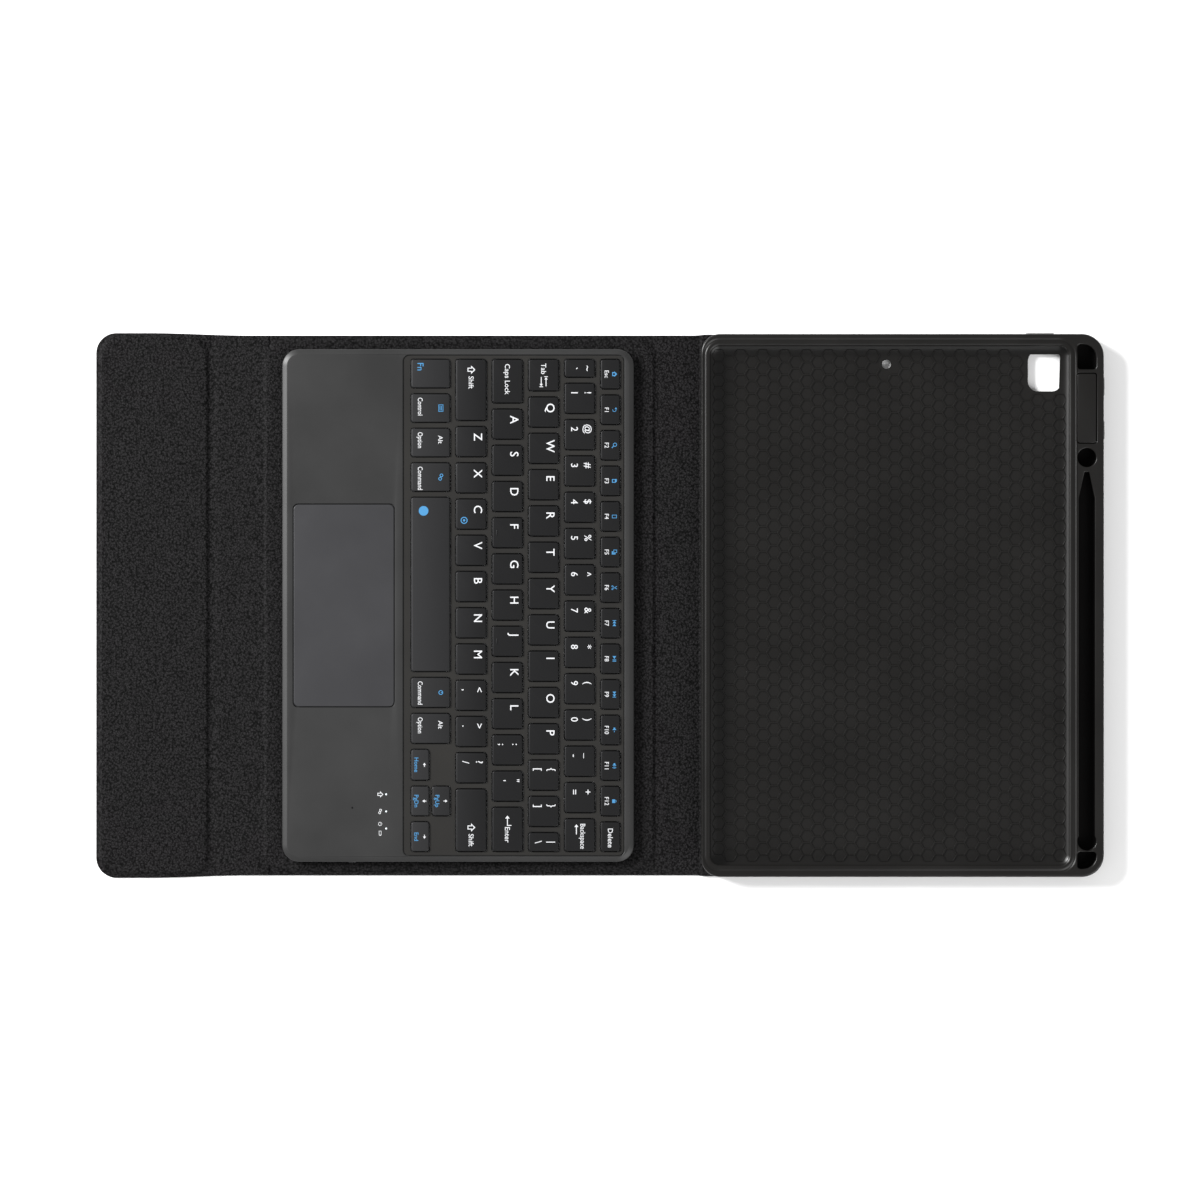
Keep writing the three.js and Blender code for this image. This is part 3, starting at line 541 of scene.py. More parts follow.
sideHoles = {"notchLength": 13.0, "notchLow": 5.1, "notchHigh": 9.7, "speakerAway": 29.5,
             "speakerLength": 36.5, "speakerLow": 6.4, "speakerHigh": 7.8, "plugFromNear": 19.1,
             "plugHalf": 3.0, "plugLow": 4.15, "plugHigh": 10.15, "padGap": 0.3, "corner": 0.1}
pressMarks = {"fromEnd": 1.5, "length": 9.0, "low": 5.6, "high": 9.6, "radius": 1.9}
honeycomb = {"columnPitch": 5.24, "rowPitch": 6.03, "ridge": 0.65, "height": 0.5, "inset": 3.2,
             "cameraGap": 0.3, "micGap": 2.6}

trayLow, trayHigh = nodeBox("tablet_tray")
trayTop = trayHigh[2]
trayRadii = [tray["nearRadius"]] * 2 + [tray["farRadius"]] * 2
cavity = (trayBox[0] + tray["endWall"], trayBox[1] - tray["endWall"],
          trayBox[2] + tray["nearWall"], trayBox[3] - tray["farStrip"])
pencilY = trayBox[3] - tray["pencilLine"]


def slotRing(grow, z):
    tip, end = trayBox[0] + slot["tip"] - grow, trayBox[1] - slot["end"]
    half, bulge = slot["half"] + grow, slot["bulge"] + grow
    spread = math.asin(half / bulge)
    tipHalf = slot["tipHalf"] + grow
    points = []
    for forward, share in ((0.25, 1), (0, 0.75), (0, -0.75), (0.25, -1)):
        points.append((tip + forward, pencilY + tipHalf * share, z))
    points.append((tip + slot["taper"], pencilY - half, z))
    for k in range(19):
        a = math.pi + spread + (2 * math.pi - 2 * spread) * k / 18
        points.append((end + bulge * math.cos(a), pencilY + bulge * math.sin(a), z))
    points.append((tip + slot["taper"], pencilY + half, z))
    return points


def dropHole(bm, ringAt, floor, lipRadius=0.45, floorFillet=0.5):
    # a hole in the tray's top face: rounded mouth, straight wall, filleted floor. Returns its mouth
    steps = [(lipRadius * (1 - math.sin(a)), trayTop - lipRadius * (1 - math.cos(a)))
             for a in (math.pi / 2 * k / 4 for k in range(4, -1, -1))][::-1]
    rings = [ringAt(grow, z) for grow, z in steps]
    rings += [ringAt(0, floor + floorFillet), ringAt(-floorFillet * 0.3, floor + floorFillet * 0.3),
              ringAt(-floorFillet, floor)]
    loops = [addRing(bm, points) for points in rings]
    # below the rounded mouth the wall, fillet and floor take slot 1, the near-black pocket material: painted shade
    for i, (a, b) in enumerate(zip(loops, loops[1:])):
        bridge(bm, a, b, int(i > 3))
    bm.faces.new(loops[-1]).material_index = 1
    return loops[0]


def boxHole(left, length, half, radii):
    box = (left, left + length, pencilY - half, pencilY + half)
    return lambda grow, z: ring(box, radii, -grow, z, 5)


def makeTray():
    bm = bmesh.new()
    base = trayLow[2]
    outer = [(0.5, base), (0.12, base + 0.15), (0, base + 0.5)]
    outer += edgeProfile(tray["rimRadius"], base + 0.6, trayTop, 5)
    foot, rim = openWall(bm, [ring(trayBox, trayRadii, inset, z, 12) for inset, z in outer])
    inward = [(inset, trayTop + dz) for inset, dz in tray["lip"]] + list(tray["bowl"])
    lip, floorEdge = openWall(bm, [ring(cavity, [tray["cavityRadius"]] * 4, inset, z, 12)
                                   for inset, z in inward])
    left, right, pocketFloor = trayBox[0], trayBox[1], base + 2
    mouths = [
        dropHole(bm, slotRing, slot["floor"]),
        dropHole(bm, lambda grow, z: circle(
            left + pockets["capHole"], pencilY, pockets["capRadius"] + grow, z), pocketFloor),
        dropHole(bm, boxHole(left + pockets["rockerFrom"] - 0.35, pockets["rockerLength"] + 0.7,
                             pockets["rockerHalf"] + 0.35, [1.4] * 4), base + 1.3, 0.3),
        dropHole(bm, boxHole(left + pockets["topFrom"], pockets["topLength"], pockets["half"],
                             [1.5, 1.5, 1.5, 6]), pocketFloor, 0.6),
        dropHole(bm, boxHole(right - pockets["bottomFrom"] - pockets["bottomLength"], pockets["bottomLength"],
                             pockets["half"], [1.5, 1.5, 6, 1.5]), pocketFloor, 0.6),
    ]
    fillPlane(bm, [rim, lip] + mouths)
    through = []
    for ringAt in (lambda z: ring(windowBox, [camera["radius"]] * 4, 0, z),
                   lambda z: circle(camera["micX"], micY, camera["mic"] / 2, z)):
        through.append(openWall(bm, [ringAt(tray["floorZ"]), ringAt(base)]))
    fillPlane(bm, [floorEdge] + [top for top, _ in through])
    fillPlane(bm, [foot] + [bottom for _, bottom in through])
    # the raised floor that carries the pencil's tip
    start = left + slot["tip"] + 0.1
    # it takes slot 1 too, painted shade like the slot around it
    prism(bm, (start, start + slot["shallowLength"], pencilY - 3.8, pencilY + 3.8), [1.5, 0.3, 0.3, 1.5],
          [(0, slot["floor"] - 0.5), (0, slot["shallow"] - 0.3), (0.3, slot["shallow"])], 4, 1)
    piece = finishMesh("trayShell", bm, [trayPlastic, pocketShadePlastic], 40)
    middle = (cavity[2] + cavity[3]) / 2
    # charging notch and two speaker slots in one end wall, power pad and headphone hole in the other
    away, corner = sideHoles["speakerAway"], sideHoles["corner"]
    sideCuts = []
    for kind, at in (("notch", middle), ("speaker", middle - away), ("speaker", middle + away)):
        reach = sideHoles[kind + "Length"] / 2
        sideCuts.append(((cavity[1] - 1, trayBox[1] + 1, at - reach, at + reach),
                         sideHoles[kind + "Low"], sideHoles[kind + "High"], corner))
    pad, gap = nodeBox("power_button_pad"), sideHoles["padGap"]
    sideCuts.append(((trayBox[0] - 1, cavity[0] + 1, pad[0][1] - gap, pad[1][1] + gap),
                     pad[0][2] - gap, pad[1][2] + gap, corner))
    plug, reach = cavity[2] + sideHoles["plugFromNear"], sideHoles["plugHalf"]
    sideCuts.append(((trayBox[0] - 1, cavity[0] + 1, plug - reach, plug + reach),
                     sideHoles["plugLow"], sideHoles["plugHigh"], corner))
    cutWith(piece, sideCuts)
    place(piece, "back_panel", "tablet_tray")


def hexSheetTree():
    # a sheet of six-sided cells with raised walls, laid out in staggered columns
    tree = bpy.data.node_groups.new("honeycombSheet", "GeometryNodeTree")
    names = (("Width", 0.2), ("Length", 0.1), ("Row Pitch", 0.006), ("Column Pitch", 0.005),
             ("Ridge", 0.0006), ("Height", 0.0003),
             ("Hole Left", 0.0), ("Hole Right", 0.0), ("Hole Near", 0.0), ("Hole Far", 0.0))
    for label, value in names:
        item = tree.interface.new_socket(label, in_out="INPUT", socket_type="NodeSocketFloat")
        item.default_value = value
    tree.interface.new_socket("Material", in_out="INPUT", socket_type="NodeSocketMaterial")
    tree.interface.new_socket("Geometry", in_out="OUTPUT", socket_type="NodeSocketGeometry")
    given = addNode(tree, "NodeGroupInput").outputs

    def maths(operation, a, b):
        node = addNode(tree, "ShaderNodeMath", operation=operation)
        for i, value in enumerate((a, b)):
            if isinstance(value, (int, float)):
                node.inputs[i].default_value = value
            else:
                tree.links.new(value, node.inputs[i])
        return node.outputs[0]

    across = maths("FLOOR", maths("DIVIDE", given["Width"], given["Row Pitch"]), 0)
    along = maths("FLOOR", maths("DIVIDE", given["Length"], given["Column Pitch"]), 0)
    grid = addNode(tree, "GeometryNodeMeshGrid", {
        "Vertices X": across, "Vertices Y": along,
        "Size X": maths("MULTIPLY", maths("SUBTRACT", across, 1), given["Row Pitch"]),
        "Size Y": maths("MULTIPLY", maths("SUBTRACT", along, 1), given["Column Pitch"])})
    column = maths("MODULO", addNode(tree, "GeometryNodeInputIndex").outputs[0], along)
    odd = maths("SUBTRACT", maths("MODULO", column, 2), 0.5)
    shift = addNode(tree, "ShaderNodeCombineXYZ", {"X": maths("MULTIPLY", odd, maths(
        "MULTIPLY", given["Row Pitch"], 0.5))})
    staggered = addNode(tree, "GeometryNodeSetPosition", {"Geometry": grid.outputs["Mesh"],
                                                          "Offset": shift.outputs["Vector"]})
    spot = addNode(tree, "ShaderNodeSeparateXYZ",
                   {"Vector": addNode(tree, "GeometryNodeInputPosition").outputs[0]}).outputs
    inHole = maths("MULTIPLY",
                   maths("MULTIPLY", maths("GREATER_THAN", spot["X"], given["Hole Left"]),
                         maths("LESS_THAN", spot["X"], given["Hole Right"])),
                   maths("MULTIPLY", maths("GREATER_THAN", spot["Y"], given["Hole Near"]),
                         maths("LESS_THAN", spot["Y"], given["Hole Far"])))
    kept = addNode(tree, "GeometryNodeDeleteGeometry", {"Geometry": staggered.outputs["Geometry"],
                                                        "Selection": inHole})
    radius = maths("DIVIDE", given["Row Pitch"], math.sqrt(3))
    plate = addNode(tree, "GeometryNodeMeshCircle", {"Radius": radius}, fill_type="NGON", Vertices=6)
    rim = addNode(tree, "GeometryNodeExtrudeMesh", {"Mesh": plate.outputs["Mesh"]}, mode="FACES",
                  Offset_Scale=0.0)
    share = maths("SUBTRACT", 1, maths("DIVIDE", maths("MULTIPLY", given["Ridge"], 0.5), radius))
    inner = addNode(tree, "GeometryNodeScaleElements", {
        "Geometry": rim.outputs["Mesh"], "Selection": rim.outputs["Top"], "Scale": share}, domain="FACE")
    sink = addNode(tree, "GeometryNodeExtrudeMesh", {
        "Mesh": inner.outputs["Geometry"], "Selection": rim.outputs["Top"],
        "Offset Scale": maths("MULTIPLY", given["Height"], -1)}, mode="FACES")
    pit = addNode(tree, "GeometryNodeScaleElements", {
        "Geometry": sink.outputs["Mesh"], "Selection": sink.outputs["Top"]}, domain="FACE", Scale=0.95)
    cells = addNode(tree, "GeometryNodeInstanceOnPoints", {
        "Points": kept.outputs["Geometry"], "Instance": pit.outputs["Geometry"]},
                    Rotation=(0, 0, math.pi / 6))
    real = addNode(tree, "GeometryNodeRealizeInstances", {"Geometry": cells.outputs["Instances"]})
    welded = addNode(tree, "GeometryNodeMergeByDistance", {"Geometry": real.outputs["Geometry"]},
                     Distance=0.00002)
    painted = addNode(tree, "GeometryNodeSetMaterial", {"Geometry": welded.outputs["Geometry"],
                                                        "Material": given["Material"]})
    addNode(tree, "NodeGroupOutput", {"Geometry": painted.outputs["Geometry"]})
    return tree


def bakedNodes(name, tree, values):
    # runs a Geometry Nodes tree and returns its result as a plain mesh object
    holder = bpy.data.objects.new(name + "Source", bpy.data.meshes.new(name + "Source"))
    bpy.context.collection.objects.link(holder)
    modifier = holder.modifiers.new("nodes", "NODES")
    modifier.node_group = tree
    for item in tree.interface.items_tree:
        if item.item_type == "SOCKET" and item.in_out == "INPUT" and item.name in values:
            modifier[item.identifier] = values[item.name]
    mesh = bpy.data.meshes.new_from_object(holder.evaluated_get(bpy.context.evaluated_depsgraph_get()))
    mesh.name = name
    bpy.data.objects.remove(holder)
    piece = bpy.data.objects.new(name, mesh)
    bpy.context.collection.objects.link(piece)
    return piece


def makeHoneycomb():
    inset = honeycomb["inset"]
    centreX, centreY = (cavity[0] + cavity[1]) / 2, (cavity[2] + cavity[3]) / 2
    gap = honeycomb["cameraGap"] + honeycomb["rowPitch"] / 2
    values = {
        "Width": (cavity[1] - cavity[0] - 2 * inset) * mm, "Length": (cavity[3] - cavity[2] - 2 * inset) * mm,
        "Row Pitch": honeycomb["rowPitch"] * mm, "Column Pitch": honeycomb["columnPitch"] * mm,
        "Ridge": honeycomb["ridge"] * mm, "Height": honeycomb["height"] * mm,
        "Hole Left": (windowBox[0] - gap - centreX) * mm, "Hole Right": (windowBox[1] + gap - centreX) * mm,
        "Hole Near": (windowBox[2] - gap - centreY) * mm, "Hole Far": (windowBox[3] + gap - centreY) * mm,
        "Material": trayPlastic,
    }
    piece = bakedNodes("honeycombFloor", hexSheetTree(), values)
    piece.data.transform(Matrix.Translation((centreX * mm, centreY * mm,
                                             (tray["floorZ"] + honeycomb["height"] + 0.02) * mm)))
    bm = bmesh.new()
    bm.from_mesh(piece.data)
    reach = honeycomb["micGap"] + camera["mic"] / 2
    near = [f for f in bm.faces if math.hypot(f.calc_center_median().x / mm - camera["micX"],
                                              f.calc_center_median().y / mm - micY) < reach]
    bmesh.ops.delete(bm, geom=near, context="FACES")
    bm.to_mesh(piece.data)
    bm.free()
    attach(piece, "back_panel")


def makeTrayButtons():
    low, high = nodeBox("volume_rocker")
    left, right = low[0], high[0]
    bm = bmesh.new()
    box = (left, right, pencilY - pockets["rockerHalf"], pencilY + pockets["rockerHalf"])
    prism(bm, box, [1.2] * 4, edgeProfile(0.35, low[2], trayTop - 0.15, 3), 5)
    length, fromEnd = pressMarks["length"], pressMarks["fromEnd"]
    for start in (left + fromEnd, right - fromEnd - length):
        # each press mark stands out of the tray's far wall as a soft oblong
        far = trayBox[3]
        rings = []
        for inset, y in ((0, far - 1.2), (0, far + 0.1), (0.12, far + 0.28), (0.35, far + 0.38)):
            flat = ring((start, start + length, pressMarks["low"], pressMarks["high"]),
                        [pressMarks["radius"]] * 4, inset, 0, 6)
            rings.append([(x, y, z) for x, z, _ in flat])
        loft(bm, rings)
    place(finishMesh("volumeRocker", bm, [trayPlastic]), "volume_rocker", "volume_rocker")

    low, high = nodeBox("power_button_pad")
    bm = bmesh.new()
    sidePlate(bm, (low[1], high[1], low[2], high[2]), [1.4] * 4, [
        (0.3, high[0]), (0, high[0] - 0.3), (0, low[0] + 0.25), (0.08, low[0] + 0.1), (0.3, low[0])],
              segments=6)
    place(finishMesh("powerPad", bm, [trayPlastic]), "power_button_pad", "power_button_pad")


makeTray()
makeHoneycomb()
makeTrayButtons()
print("tablet tray made")


# keyboard case: top case with its deck and key well, bottom cover, feet
keyboard = {
    "corner": 8.0,
    "rim": ((0, 1.25), (0.1, 1.02), (0.32, 0.86), (2.1, 0.1), (2.3, 0.025), (2.5, 0)),
    "wall": 1.5, "deck": 1.4, "seam": 0.14, "palmRest": 57.5,
    "wellSide": 2.6, "wellFar": 4.5, "wellRadius": 3.0, "wellEdge": 0.25, "wellDepth": 0.5, "trench": 0.5,
    "padFlange": 1.0, "padGap": 0.36, "padRadius": 2.4, "resetX": 96.4, "resetY": 33.4, "resetHole": 0.45,
}
keyShape = {
    "gap": 2.95, "flange": 0.7, "clearance": 0.36, "radius": 1.1, "carrierInset": 2.0, "carrier": 0.4,
    "roll": ((0, 0.9), (0.06, 0.5), (0.14, 0.26), (0.27, 0.11), (0.48, 0.03), (0.8, 0)),
    "homeBar": 3.0, "homeBarFromNear": 2.3,
}
lensHole = {"mouth": 0.65, "radius": 0.58}
rubberFoot = {"recess": 4.3, "recessDepth": 0.3,
              "face": ((1.6, 0.1), (1.1, 0.02), (0.7, 0), (0.3, 0.06), (0.08, 0.18), (0, 0.32))}
port = {"gap": 0.3, "radii": (0.9, 0.9, 0.35, 0.35), "wall": 0.32, "depth": 5.2, "tongueSide": 1.4,
        "tongueLow": -0.05, "tongueHigh": 0.55, "tongueBehind": 0.9}
knob = {"heel": 0.7, "gap": 0.2, "travel": 2.2, "ribs": 3, "ribHalf": 0.32}
deckBox = planBox("keyboard_top_case")
deckLow, deckHigh = nodeBox("keyboard_top_case")
deckTop = deckHigh[2]
wellFloor = deckTop - keyboard["wellDepth"]
deckUnder = deckTop - keyboard["deck"]
wellBox = (deckBox[0] + keyboard["wellSide"], deckBox[1] - keyboard["wellSide"],
           deckBox[2] + keyboard["palmRest"], deckBox[3] - keyboard["wellFar"])
padBox = planBox("trackpad", -keyboard["padFlange"])
lensNodes = sorted(name for name in frame["nodes"] if name.startswith("indicator_lens"))
coverLow, coverHigh = nodeBox("keyboard_bottom_cover")

# what is printed on each key, in the order the keys stand from the typist's left
keyPrints = {
    "left_modifier_keys": [("corner", "Fn"), ("modifier", "Control", "screen"), ("modifier", "Option", "Alt"),
                           ("modifier", "Command", "link")],
    "space_key": [("space", "globe")],
    "right_modifier_keys": [("modifier", "Command", "dial"), ("modifier", "Option", "Alt")],
    "left_arrow_key": [("arrow", 180, "Home")], "down_arrow_key": [("arrow", 270, "PgDn")],
    "up_arrow_key": [("arrow", 90, "PgUp")], "right_arrow_key": [("arrow", 0, "End")],
    "left_shift_key": [("word", "Shift", "shift", 2.8)],
    "lower_letter_keys": [("letter", "Z"), ("letter", "X"), ("letter", "C", "ring")]
    + [("letter", c) for c in "VBNM"] + [("pair", c) for c in ("<,", ">.", "?/")],
    "right_shift_key": [("word", "Shift", "shift", 16.2)],
    "caps_lock_key": [("word", "Caps Lock", None, 2.2)],
    "home_letter_keys": [("letter", c) for c in "ASDFGHJKL"] + [("pair", ":;"), ("pair", "\"'")],
    "enter_key": [("word", "Enter", "return", 4.2)],
    "tab_key": [("word", "Tab", "tabs", 1.9)],
    "upper_letter_keys": [("letter", c) for c in "QWERTYUIOP"]
    + [("pair", c) for c in ("{[", "}]", "|\\")],
    "number_keys": [("pair", c) for c in ("~`", "!1", "@2", "#3", "$4", "%5", "^6", "&7", "*8", "(9", ")0",
                                          "_-", "+=")],
    "backspace_key": [("backspace", "Backspace")],
    "function_keys": [("function", *pair) for pair in (
        ("Esc", "home"), ("F1", "back"), ("F2", "search"), ("F3", "page"), ("F4", "tall"), ("F5", "copy"),
        ("F6", "cut"), ("F7", "previous"), ("F8", "play"), ("F9", "next"), ("F10", "quiet"), ("F11", "loud"),
        ("F12", "lock"))] + [("word", "Delete", None, 3.1)],
}
narrowKeys = {"upper_letter_keys": (12, 8.9 / 14.3), "number_keys": (0, 8.4 / 14.3)}


def keyBoxes(node):
    # the plan box of every key in one moving group, from the group's own box
    left, right, near, far = planBox(node)
    left, right = left + keyShape["flange"], right - keyShape["flange"]
    shares = [1.0] * len(keyPrints[node])
    if node in narrowKeys:
        index, share = narrowKeys[node]
        shares[index] = share
    unit = (right - left - keyShape["gap"] * (len(shares) - 1)) / sum(shares)
    boxes = []
    for share in shares:
        boxes.append((left, left + share * unit, near, far))
        left += share * unit + keyShape["gap"]
    return boxes


def grown(box, by):
    return box[0] - by, box[1] + by, box[2] - by, box[3] + by


def roundedMouth(box, radius, edge, top, foot, segments=5):
    # rings of a hole with a rolled upper edge
    rings = []
    for k in range(4):
        a = math.pi / 2 * k / 3
        grow = edge * (1 - math.sin(a))
        rings.append(ring(box, [radius] * 4, -grow, top - edge * (1 - math.cos(a)), segments))
    return rings + [ring(box, [radius] * 4, 0, foot, segments)]


def makeTopCase():
    bm = bmesh.new()
    radii = [keyboard["corner"]] * 4
    base, seam, wall = deckLow[2], keyboard["seam"], keyboard["wall"]
    outer = [(seam, base), (0, base + seam)] + [(inset, deckTop - down) for inset, down in keyboard["rim"]]
    hem, rim = openWall(bm, [ring(deckBox, radii, inset, z, 10) for inset, z in outer])
    mouths, feet = [], []
    mouth, foot = openWall(bm, roundedMouth(grown(padBox, keyboard["padGap"]), keyboard["padRadius"], 0.14,
                                            deckTop, deckUnder))
    mouths.append(mouth)
    feet.append(foot)
    for node in lensNodes:
        x, y = middleOf(node)
        mouth, foot = openWall(bm, [circle(x, y, radius, z, 16) for radius, z in (
            (lensHole["mouth"], deckTop), (lensHole["radius"], deckTop - 0.1),
            (lensHole["radius"], deckUnder))])
        mouths.append(mouth)
        feet.append(foot)
    resetAt = deckBox[2] + keyboard["resetY"]
    mouth, floor = openWall(bm, [circle(keyboard["resetX"], resetAt, keyboard["resetHole"], z, 16)
                                 for z in (deckTop, deckTop - 0.8)])
    mouths.append(mouth)
    bm.faces.new(floor)
    # a narrow trench runs round the well's floor, so that its edge reads as a joint
    trench = keyboard["trench"]
    corner = keyboard["wellRadius"]
    steps = roundedMouth(wellBox, corner, keyboard["wellEdge"], deckTop, wellFloor - trench, 8)
    steps += [ring(wellBox, [corner] * 4, trench, z, 8) for z in (wellFloor - trench, wellFloor)]
    wellMouth, wellFoot = openWall(bm, steps)
    fillPlane(bm, [rim, wellMouth] + mouths)
    openings = []
    for node in keyPrints:
        for box in keyBoxes(node):
            hole = grown(box, keyShape["clearance"])
            radius = [keyShape["radius"] + keyShape["clearance"]] * 4
            mouth, foot = openWall(bm, [ring(hole, radius, -0.08, wellFloor, 3),
                                        ring(hole, radius, 0, wellFloor - 0.08, 3),
                                        ring(hole, radius, 0, deckUnder, 3)])
            openings.append(mouth)
            feet.append(foot)
    # the well floor between the keys takes slot 1, the darker frame plastic, partly painted shade
    fillPlane(bm, [wellFoot] + openings, 1)
    ceiling, inside = openWall(bm, [ring(deckBox, radii, wall, z, 10) for z in (deckUnder, base)])
    fillPlane(bm, [ceiling] + feet)
    bridge(bm, inside, hem)
    piece = finishMesh("topCase", bm, [casePlastic, keyFrameShadePlastic], 40)
    cutWith(piece, portCut + switchCut)
    place(piece, "keyboard", "keyboard_top_case")


def makeBottomCover():
    bm = bmesh.new()
    radii = [keyboard["corner"]] * 4
    low, high, floor = coverLow[2], coverHigh[2], coverLow[2] + 0.7
    seam, wall = keyboard["seam"], keyboard["wall"]
    under, inside = openWall(bm, [ring(deckBox, radii, inset, z, 10) for inset, z in (
        (0.7, low), (0.3, low + 0.08), (0.08, low + 0.3), (0, low + 0.6), (0, high - seam), (seam, high),
        (wall, high), (wall, floor))])
    recesses = []
    for k in range(4):
        x, y = middleOf(f"rubber_foot_{k + 1}")
        mouth, top = openWall(bm, [circle(x, y, rubberFoot["recess"], z)
                                   for z in (low, low + rubberFoot["recessDepth"])])
        bm.faces.new(top)
        recesses.append(mouth)
    fillPlane(bm, [under] + recesses)
    bm.faces.new(inside)
    piece = finishMesh("bottomCover", bm, [casePlastic], 40)
    cutWith(piece, portCut)
    place(piece, "keyboard", "keyboard_bottom_cover")


def makeFeet():
    # moulded rubber discs with a rolled edge and a shallow dished face
    for k in range(4):
        name = f"rubber_foot_{k + 1}"
        low, high = nodeBox(name)
        (x, y), radius = middleOf(name), (high[0] - low[0]) / 2
        bm = bmesh.new()
        loft(bm, [circle(x, y, radius - inset, low[2] + z) for inset, z in rubberFoot["face"]]
             + [circle(x, y, radius, high[2])])
        place(finishMesh(f"rubberFoot{k + 1}", bm, [footRubber]), "keyboard", name)


portLow, portHigh = nodeBox("charge_port")
knobLow, knobHigh = nodeBox("power_switch_knob")
stemNear, stemFar = knobLow[1] + knob["heel"], knobHigh[1] - knob["heel"]
outerX = deckBox[1]
portCut = [((outerX - keyboard["wall"] - 1, outerX + 1, portLow[1] - port["gap"], portHigh[1] + port["gap"]),
            portLow[2] - port["gap"], portHigh[2] + port["gap"], 0.3)]
switchCut = [((outerX - keyboard["wall"] - 1, outerX + 1,
               stemNear - knob["gap"], stemFar + (knob["travel"] + knob["gap"])),
              deckLow[2] - 1, knobHigh[2] + knob["gap"], 0.2)]


def makePort():
    # stamped steel receptacle shell with a black tongue inside it
    bm = bmesh.new()
    y0, y1, z0, z1 = portLow[1], portHigh[1], portLow[2], portHigh[2]
    back, front = portLow[0], portHigh[0]
    wall, depth, side = port["wall"], port["depth"], port["tongueSide"]
    sidePlate(bm, (y0, y1, z0, z1), port["radii"], [
        (0, back), (0, front - 0.1), (0.1, front), (wall - 0.05, front), (wall, front - 0.08),
        (wall, front - depth)])
    middle, behind = (z0 + z1) / 2, port["tongueBehind"]
    sidePlate(bm, (y0 + side, y1 - side, middle + port["tongueLow"], middle + port["tongueHigh"]), [0.1] * 4,
              [(0, front - depth - 0.2), (0, front - behind), (0.1, front - behind + 0.2)],
              slot=1, segments=2)
    place(finishMesh("portShell", bm, [platedSteel, voidBlack], 40), "keyboard", "charge_port")


def makePowerKnob():
    # slide switch knob with three grip ribs on its outer face
    bm = bmesh.new()
    y0, y1, z0, z1 = knobLow[1], knobHigh[1], knobLow[2], knobHigh[2]
    inner = outerX - keyboard["wall"] - 0.2
    sidePlate(bm, (stemNear, stemFar, z0, z1), [0.25] * 4,
              [(0, inner - 0.3), (0, knobHigh[0] - 0.3), (0.08, knobHigh[0] - 0.2)])
    for k in range(knob["ribs"]):
        y = stemNear + (stemFar - stemNear) * (k + 0.5) / knob["ribs"]
        sidePlate(bm, (y - knob["ribHalf"], y + knob["ribHalf"], z0 + 0.1, z1 - 0.1), [0.2] * 4,
                  [(0, knobHigh[0] - 0.3), (0.05, knobHigh[0] - 0.08), (0.18, knobHigh[0])], segments=3)
    sidePlate(bm, (y0, y1, z0, z1), [0.1] * 4, [(0, knobLow[0]), (0, inner)], segments=1)
    place(finishMesh("powerKnob", bm, [keyPlastic], 40), "power_switch_knob", "power_switch_knob")


def makeTrackpad():
    # the plate slopes by a hair at its edge, so that its rim catches the light
    bm = bmesh.new()
    low, high = nodeBox("trackpad")
    plate = [(inward, high[2] - down) for inward, down in (
        (0, 1.8), (0, 0.2), (0.05, 0.08), (0.16, 0.02), (0.34, 0))]
    prism(bm, grown(padBox, -0.1), [keyboard["padRadius"]] * 4, plate, 6)
    prism(bm, planBox("trackpad"), [0.5] * 4, [(0, low[2]), (0, low[2] + 0.4)], 1)
    place(finishMesh("touchPlate", bm, [touchPlastic], 40), "trackpad", "trackpad")


def makeLenses():
    for k, node in enumerate(lensNodes):
        low, high = nodeBox(node)
        (x, y), radius = middleOf(node), (high[0] - low[0]) / 2
        rings = [circle(x, y, radius, low[2], 20), circle(x, y, radius, high[2] - 0.3, 20)]
        for j in range(1, 5):
            a = math.pi / 2 * j / 5
            rings.append(circle(x, y, radius * math.cos(a), high[2] - 0.3 + 0.25 * math.sin(a), 20))
        bm = bmesh.new()
        loft(bm, rings)
        place(finishMesh(f"indicatorLens{k + 1}", bm, [lensPlastic]), "keyboard", node)


makeTopCase()
makeBottomCover()
makeFeet()
makePort()
makePowerKnob()
makeTrackpad()
makeLenses()
print("keyboard case made")


# printed letters and marks: thin solids standing a few hundredths proud of the surface
ink = {"proud": 0.035, "sunk": 0.03, "white": 1, "blue": 2, "weight": 0.006, "letter": 3.9, "digit": 3.2,
       "word": 2.35, "small": 1.95, "side": 3.1, "far": 2.0, "stroke": 0.27}
letterMeshes = {}


def letterMesh(text):
    # a word in the built-in sans face, a little heavier than usual
    if text not in letterMeshes:
        curve = bpy.data.curves.new("lettering", "FONT")
        curve.body, curve.offset, curve.extrude, curve.resolution_u = text, ink["weight"], 1.0, 3
        holder = bpy.data.objects.new("lettering", curve)
        mesh = bpy.data.meshes.new_from_object(holder)
        bpy.data.objects.remove(holder)
        bm = bmesh.new()
        bm.from_mesh(mesh)
        bmesh.ops.remove_doubles(bm, verts=bm.verts, dist=1e-5)
        bmesh.ops.triangulate(bm, faces=bm.faces)
        bm.to_mesh(mesh)
        bm.free()
        letterMeshes[text] = mesh
    return letterMeshes[text]


def extent(mesh, axis):
    values = [v.co[axis] for v in mesh.vertices]
    return min(values), max(values)


